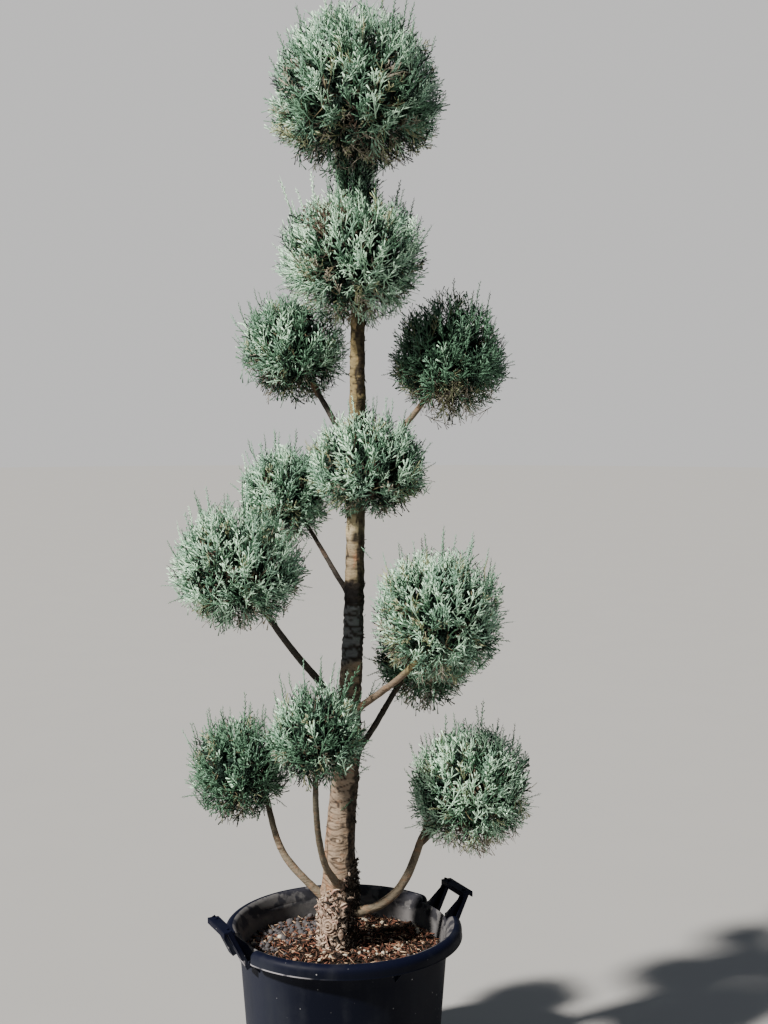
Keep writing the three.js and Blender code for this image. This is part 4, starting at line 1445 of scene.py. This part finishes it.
    @staticmethod
    def leg(bm, half):
        """One leg: an outer flange that narrows upwards, a web to the wall and two side lips."""
        out, up = GRIP_RADIUS + 0.004 - LEG_FOOT_RADIUS, HANDLE_TOP - HANDLE_FOOT
        rise = math.hypot(out, up)
        corners = block(bm, (*LEG_FLANGE, rise), (0, 0, rise / 2))
        upper = [vertex for vertex in corners if vertex.co.z > rise / 2]
        bmesh.ops.scale(bm, verts=upper, vec=(1, LEG_NARROWS, 1))
        for edge in (-1, 1):
            lip = block(bm, (*LEG_LIP, rise), (LEG_LIP_AT[0], edge * LEG_LIP_AT[1], rise / 2))
            for vertex in lip:
                if vertex.co.z > rise / 2:
                    vertex.co.y -= edge * LEG_LIP_NARROWS
            corners += lip
        tilt = Matrix.Rotation(math.atan2(out, up), 3, "Y")
        bmesh.ops.rotate(bm, verts=corners, cent=(0, 0, 0), matrix=tilt)
        bmesh.ops.translate(bm, verts=corners, vec=(LEG_FOOT_RADIUS, half, HANDLE_FOOT))
        outline = (
            (POT_NECK_RADIUS - 0.003, HANDLE_FOOT - 0.004), (LEG_FOOT_RADIUS, HANDLE_FOOT),
            (GRIP_RADIUS + 0.005, HANDLE_TOP - GRIP_THICK), (GRIP_RADIUS - 0.006, HANDLE_TOP - 0.003),
            (RIM_WALL_RADIUS + 0.003, POT_TOP - 0.002), (RIM_WALL_RADIUS - 0.002, POT_TOP - 0.004))
        slab(bm, outline, half - LEG_WEB / 2, LEG_WEB)


class TOPIARY_OT_medium(bpy.types.Operator):
    """Builds the growing medium with its stones, bark chips and fibres"""

    bl_idname = "topiary.medium"
    bl_label = "Growing medium"

    def execute(self, context):
        settings = context.scene.topiary_medium
        finish_piece(self.bed(), [medium_material()], "growing_medium", "growing_medium")
        finish_piece(self.stones(settings.stones), tinted(PUMICE_TINTS), "growing_medium")
        chips = self.chips(settings.chips, settings.fibres)
        finish_piece(chips, tinted(CHIP_TINTS), "growing_medium")
        return {"FINISHED"}

    @staticmethod
    def level(points):
        """Height of the bed: slightly uneven, and raised round the trunk."""
        near = np.hypot(points[:, 0] - TRUNK_ROUTE[0][0], points[:, 1])
        flat = np.column_stack([points[:, :2], np.zeros(len(points))])
        return SOIL_TOP + 0.012 * np.exp(-((near - 0.05) / 0.07) ** 2) + 0.004 * cloudy(flat, 17)

    @staticmethod
    def bed():
        """Body of the growing medium up to its uneven top."""
        side = INNER_NECK_RADIUS - BED_GAP
        foot = INNER_FOOT_RADIUS - 0.001
        low, high = POT_FLOOR + 0.001, SOIL_TOP - 0.01
        top = [(radius, SOIL_TOP) for radius in np.linspace(side - 0.001, 0, 46)]
        profile = [(0, low), (foot - FLOOR_ROUND, low), (foot, 0.022), (foot + POT_SLOPE * high, high), *top]
        bm = bmesh.new()
        spun(bm, profile, 120)
        crown = [vertex for vertex in bm.verts if vertex.co.z > SOIL_TOP - 0.005]
        heights = TOPIARY_OT_medium.level(np.array([vertex.co for vertex in crown]))
        for vertex, height in zip(crown, heights):
            vertex.co.z = height
        return mesh_of(bm, "medium_bed")

    @staticmethod
    def scattered(count, chance):
        """Places on the bed, kept off the trunk."""
        radius = BED_REACH * np.sqrt(chance.random(count))
        turn = chance.uniform(0, 2 * math.pi, count)
        places = np.stack([radius * np.cos(turn), radius * np.sin(turn), np.zeros(count)], axis=1)
        places[:, 2] = TOPIARY_OT_medium.level(places)
        return places[np.hypot(places[:, 0] - TRUNK_ROUTE[0][0], places[:, 1]) > TRUNK_ROOM]

    @staticmethod
    def stones(count):
        """Rounded pumice stones, most at the back and left."""
        chance = np.random.default_rng(STONE_SEED)
        places = TOPIARY_OT_medium.scattered(3 * count, chance)
        back = 0.8 * places[:, 1] - places[:, 0]
        likely = 0.06 + 0.42 * smooth_step(back, 0.06, 0.18) + 0.30 * cloudy(places, 14)
        chosen = chance.random(len(places)) < np.clip(likely, 0.02, 1)
        places, back = places[chosen][:count], back[chosen][:count]
        number = len(places)
        size = 0.0030 + 0.0034 * chance.random(number) ** 1.5
        size *= 1 + 0.35 * smooth_step(back, 0.08, 0.18)
        places[:, 2] += 0.6 * size
        turns = facing(unit(chance.normal(0, 1, (number, 3))), chance.normal(0, 1, (number, 3)))
        turns = turns * (size[:, None] * chance.uniform(0.7, 1.25, (number, 3)))[:, None, :]
        pale = chance.choice(len(PUMICE_TINTS), number, p=PUMICE_SHARES)
        tints = np.where(chance.random(number) < 0.90 * smooth_step(back, 0.02, 0.14), BACK_TINT, pale)
        kinds = chance.integers(0, STONE_SHAPES, number)
        pebble = bmesh.new()
        bmesh.ops.create_icosphere(pebble, subdivisions=1, radius=1)
        corners = np.array([vertex.co for vertex in pebble.verts])
        faces = np.array([[vertex.index for vertex in face.verts] for face in pebble.faces])
        pebble.free()
        heap = Heap()
        for kind in range(STONE_SHAPES):
            lumps = 0.16 * np.random.default_rng(kind).normal(0, 1, (len(corners), 1))
            chosen = kinds == kind
            heap.add((corners * (1 + lumps), faces), turns[chosen], places[chosen], tints[chosen])
        return heap.mesh("medium_stones")

    @staticmethod
    def chips(count, fibres):
        """Split bark chips and thin coir fibres, lying every way on the bed."""
        chance = np.random.default_rng(CHIP_SEED)
        places = TOPIARY_OT_medium.scattered(count + fibres, chance)
        total = len(places)
        fibre = np.arange(total) >= count
        along = unit(chance.normal(0, 1, (total, 3)) * np.array([1, 1, 0.33]))
        length = np.where(fibre, chance.uniform(0.012, 0.030, total), chance.uniform(0.007, 0.020, total))
        width = np.where(fibre, FIBRE_WIDTH, length * chance.uniform(0.12, 0.32, total))
        thick = np.where(fibre, FIBRE_THICK, width * chance.uniform(0.25, 0.6, total))
        turns = facing(along, UP + chance.normal(0, 0.5, (total, 3)))
        turns = turns * np.stack([thick, width, length], axis=1)[:, None, :]
        raised = 0.0035 + 0.003 * chance.random(total)
        places = places - 0.5 * length[:, None] * along + np.outer(raised, UP)
        tints = chance.choice(len(CHIP_TINTS), total, p=CHIP_SHARES)
        corners = []
        for z, half in ((0, 0.30), (0.45, 0.5), (1, 0.22)):
            corners += [(-0.5, -half, z), (0.5, -0.8 * half, z), (0.5, 0.8 * half, z), (-0.5, half, z)]
        faces = [(0, 3, 2), (0, 2, 1), (8, 9, 10), (8, 10, 11)]
        for ring in (0, 4):
            for i in range(4):
                first, second = ring + i, ring + (i + 1) % 4
                faces += [(first, second, second + 4), (first, second + 4, first + 4)]
        heap = Heap()
        heap.add((np.array(corners), np.array(faces)), turns, places, tints)
        return heap.mesh("medium_chips")


class TOPIARY_OT_trunk(bpy.types.Operator):
    """Builds the trunk with its bark and loose flakes"""

    bl_idname = "topiary.trunk"
    bl_label = "Trunk"

    def execute(self, context):
        settings = context.scene.topiary_wood
        bands = (SMOOTH_BAND, (*RING_BARK, settings.grey, 0.6), *UPPER_BANDS)
        bark = bark_material("trunk_bark", settings, settings.foot, 1.0, bands)
        trunk = bark_limb("trunk_bark", LIMBS["trunk"], TRUNK_MESH, trunk_relief, TRUNK_CROWD)
        finish_piece(trunk, [bark], "bark", "trunk")
        finish_piece(bark_flakes(), tinted(FLAKE_TINTS), "bark")
        return {"FINISHED"}


class TOPIARY_OT_boughs(bpy.types.Operator):
    """Builds the boughs that carry the balls"""

    bl_idname = "topiary.boughs"
    bl_label = "Boughs"

    def execute(self, context):
        settings = context.scene.topiary_wood
        tan = bark_material("bough_bark", settings, settings.bough, 0.8, BOUGH_BANDS)
        # Boughs in the balls' shade get the darker slate bark: painted shade
        shaded_slate = bark_material("shaded_slate_bark", settings, SHADED_SLATE, 0.25, ())
        for name in BOUGHS:
            bark = shaded_slate if name in SHADED_SLATE_BOUGHS else tan
            mesh = bark_limb(f"bough_bark_{name}", carried_on(name), BOUGH_MESH, bough_relief)
            finish_piece(mesh, [bark], "bough_bark", f"bough_{name}")
        return {"FINISHED"}


class TOPIARY_OT_foliage(bpy.types.Operator):
    """Builds the twigs and the sprays of scale leaves, ball by ball"""

    bl_idname = "topiary.foliage"
    bl_label = "Foliage"

    def execute(self, context):
        settings = context.scene.topiary_foliage
        thick = settings.width / settings.length
        templates = {}
        for number, (kind, (share, *plume)) in enumerate(PLUMES.items()):
            seeds = range(10 * number, 10 * number + TEMPLATES)
            templates[kind] = [plume_template(seed, share * thick, *plume) for seed in seeds]
        twigs, cords = tinted(TWIG_TINTS), tinted(CORD_TINTS)
        for name in BALLS:
            places = spray_places(name, settings)
            finish_piece(ball_twigs(name, places), twigs, "bough_bark")
            finish_piece(ball_sprays(name, templates, places), cords, "foliage", f"foliage_{name}")
        finish_piece(lone_shoots(templates["shoot"]), cords, "foliage")
        return {"FINISHED"}


class TOPIARY_OT_stage(bpy.types.Operator):
    """Sets the floor, the light and the camera"""

    bl_idname = "topiary.stage"
    bl_label = "Stage"

    def execute(self, context):
        settings = context.scene.topiary_stage
        bm = bmesh.new()
        bmesh.ops.create_circle(bm, cap_ends=True, radius=FLOOR_RADIUS, segments=96)
        floor = bpy.data.objects.new("floor", mesh_of(bm, "floor", smooth=False))
        context.scene.collection.objects.link(floor)
        recipe = Recipe("floor")
        colour = recipe.mix(settings.floor, [0.96 * part for part in settings.floor], recipe.noise(3))
        floor.data.materials.append(recipe.surface(colour, 0.9, 0.2))
        sun = bpy.data.lights.new("key", "SUN")
        sun.energy = settings.key
        sun.angle = SUN_DISC
        sun.color = SUN_COLOUR
        key = bpy.data.objects.new("key", sun)
        key.rotation_euler = SUN_TURN
        context.scene.collection.objects.link(key)
        context.scene.world = self.studio(settings)
        lens = bpy.data.cameras.new("camera")
        lens.lens = CAMERA_LENS
        lens.sensor_width = CAMERA_SENSOR
        camera = bpy.data.objects.new("camera", lens)
        camera.location = CAMERA_AT
        camera.rotation_euler = (math.pi / 2 - CAMERA_PITCH, 0, 0)
        context.scene.collection.objects.link(camera)
        context.scene.camera = camera
        return {"FINISHED"}

    @staticmethod
    def studio(settings):
        """Soft light from all round, in front of a backdrop as pale as the lit floor."""
        world = bpy.data.worlds.new("studio")
        world.use_nodes = True
        nodes, links = world.node_tree.nodes, world.node_tree.links
        light = nodes["Background"]
        light.inputs["Color"].default_value = SKY_COLOUR
        light.inputs["Strength"].default_value = settings.fill
        pale = nodes.new("ShaderNodeBackground")
        pale.inputs["Color"].default_value = (*settings.floor, 1)
        pale.inputs["Strength"].default_value = settings.backdrop
        seen = nodes.new("ShaderNodeLightPath")
        choice = nodes.new("ShaderNodeMixShader")
        links.new(seen.outputs["Is Camera Ray"], choice.inputs[0])
        links.new(light.outputs[0], choice.inputs[1])
        links.new(pale.outputs[0], choice.inputs[2])
        links.new(choice.outputs[0], nodes["World Output"].inputs["Surface"])
        return world


class TOPIARY_PT_panel(bpy.types.Panel):
    """Lists the steps that dress the plant"""

    bl_label = "Pompom cypress"
    bl_space_type = "VIEW_3D"
    bl_region_type = "UI"
    bl_category = "Topiary"

    def draw(self, context):
        for operator in OPERATORS:
            self.layout.operator(operator.bl_idname)


SETTINGS = {
    "topiary_container": ContainerSettings,
    "topiary_medium": MediumSettings,
    "topiary_wood": WoodSettings,
    "topiary_foliage": FoliageSettings,
    "topiary_stage": StageSettings,
}
OPERATORS = (
    TOPIARY_OT_stage,
    TOPIARY_OT_container,
    TOPIARY_OT_medium,
    TOPIARY_OT_trunk,
    TOPIARY_OT_boughs,
    TOPIARY_OT_foliage,
)


def register():
    """Registers the settings, the operators and the panel."""
    for kind in (*SETTINGS.values(), *OPERATORS, TOPIARY_PT_panel):
        bpy.utils.register_class(kind)
    for name, kind in SETTINGS.items():
        setattr(bpy.types.Scene, name, PointerProperty(type=kind))


def unregister():
    """Takes them out again."""
    for name in SETTINGS:
        delattr(bpy.types.Scene, name)
    for kind in (TOPIARY_PT_panel, *reversed(OPERATORS), *SETTINGS.values()):
        bpy.utils.unregister_class(kind)


def main():
    """Dresses the plant piece by piece."""
    register()
    bpy.ops.topiary.stage()
    bpy.ops.topiary.container()
    bpy.ops.topiary.medium()
    bpy.ops.topiary.trunk()
    bpy.ops.topiary.boughs()
    bpy.ops.topiary.foliage()


if __name__ == "__main__":
    main()
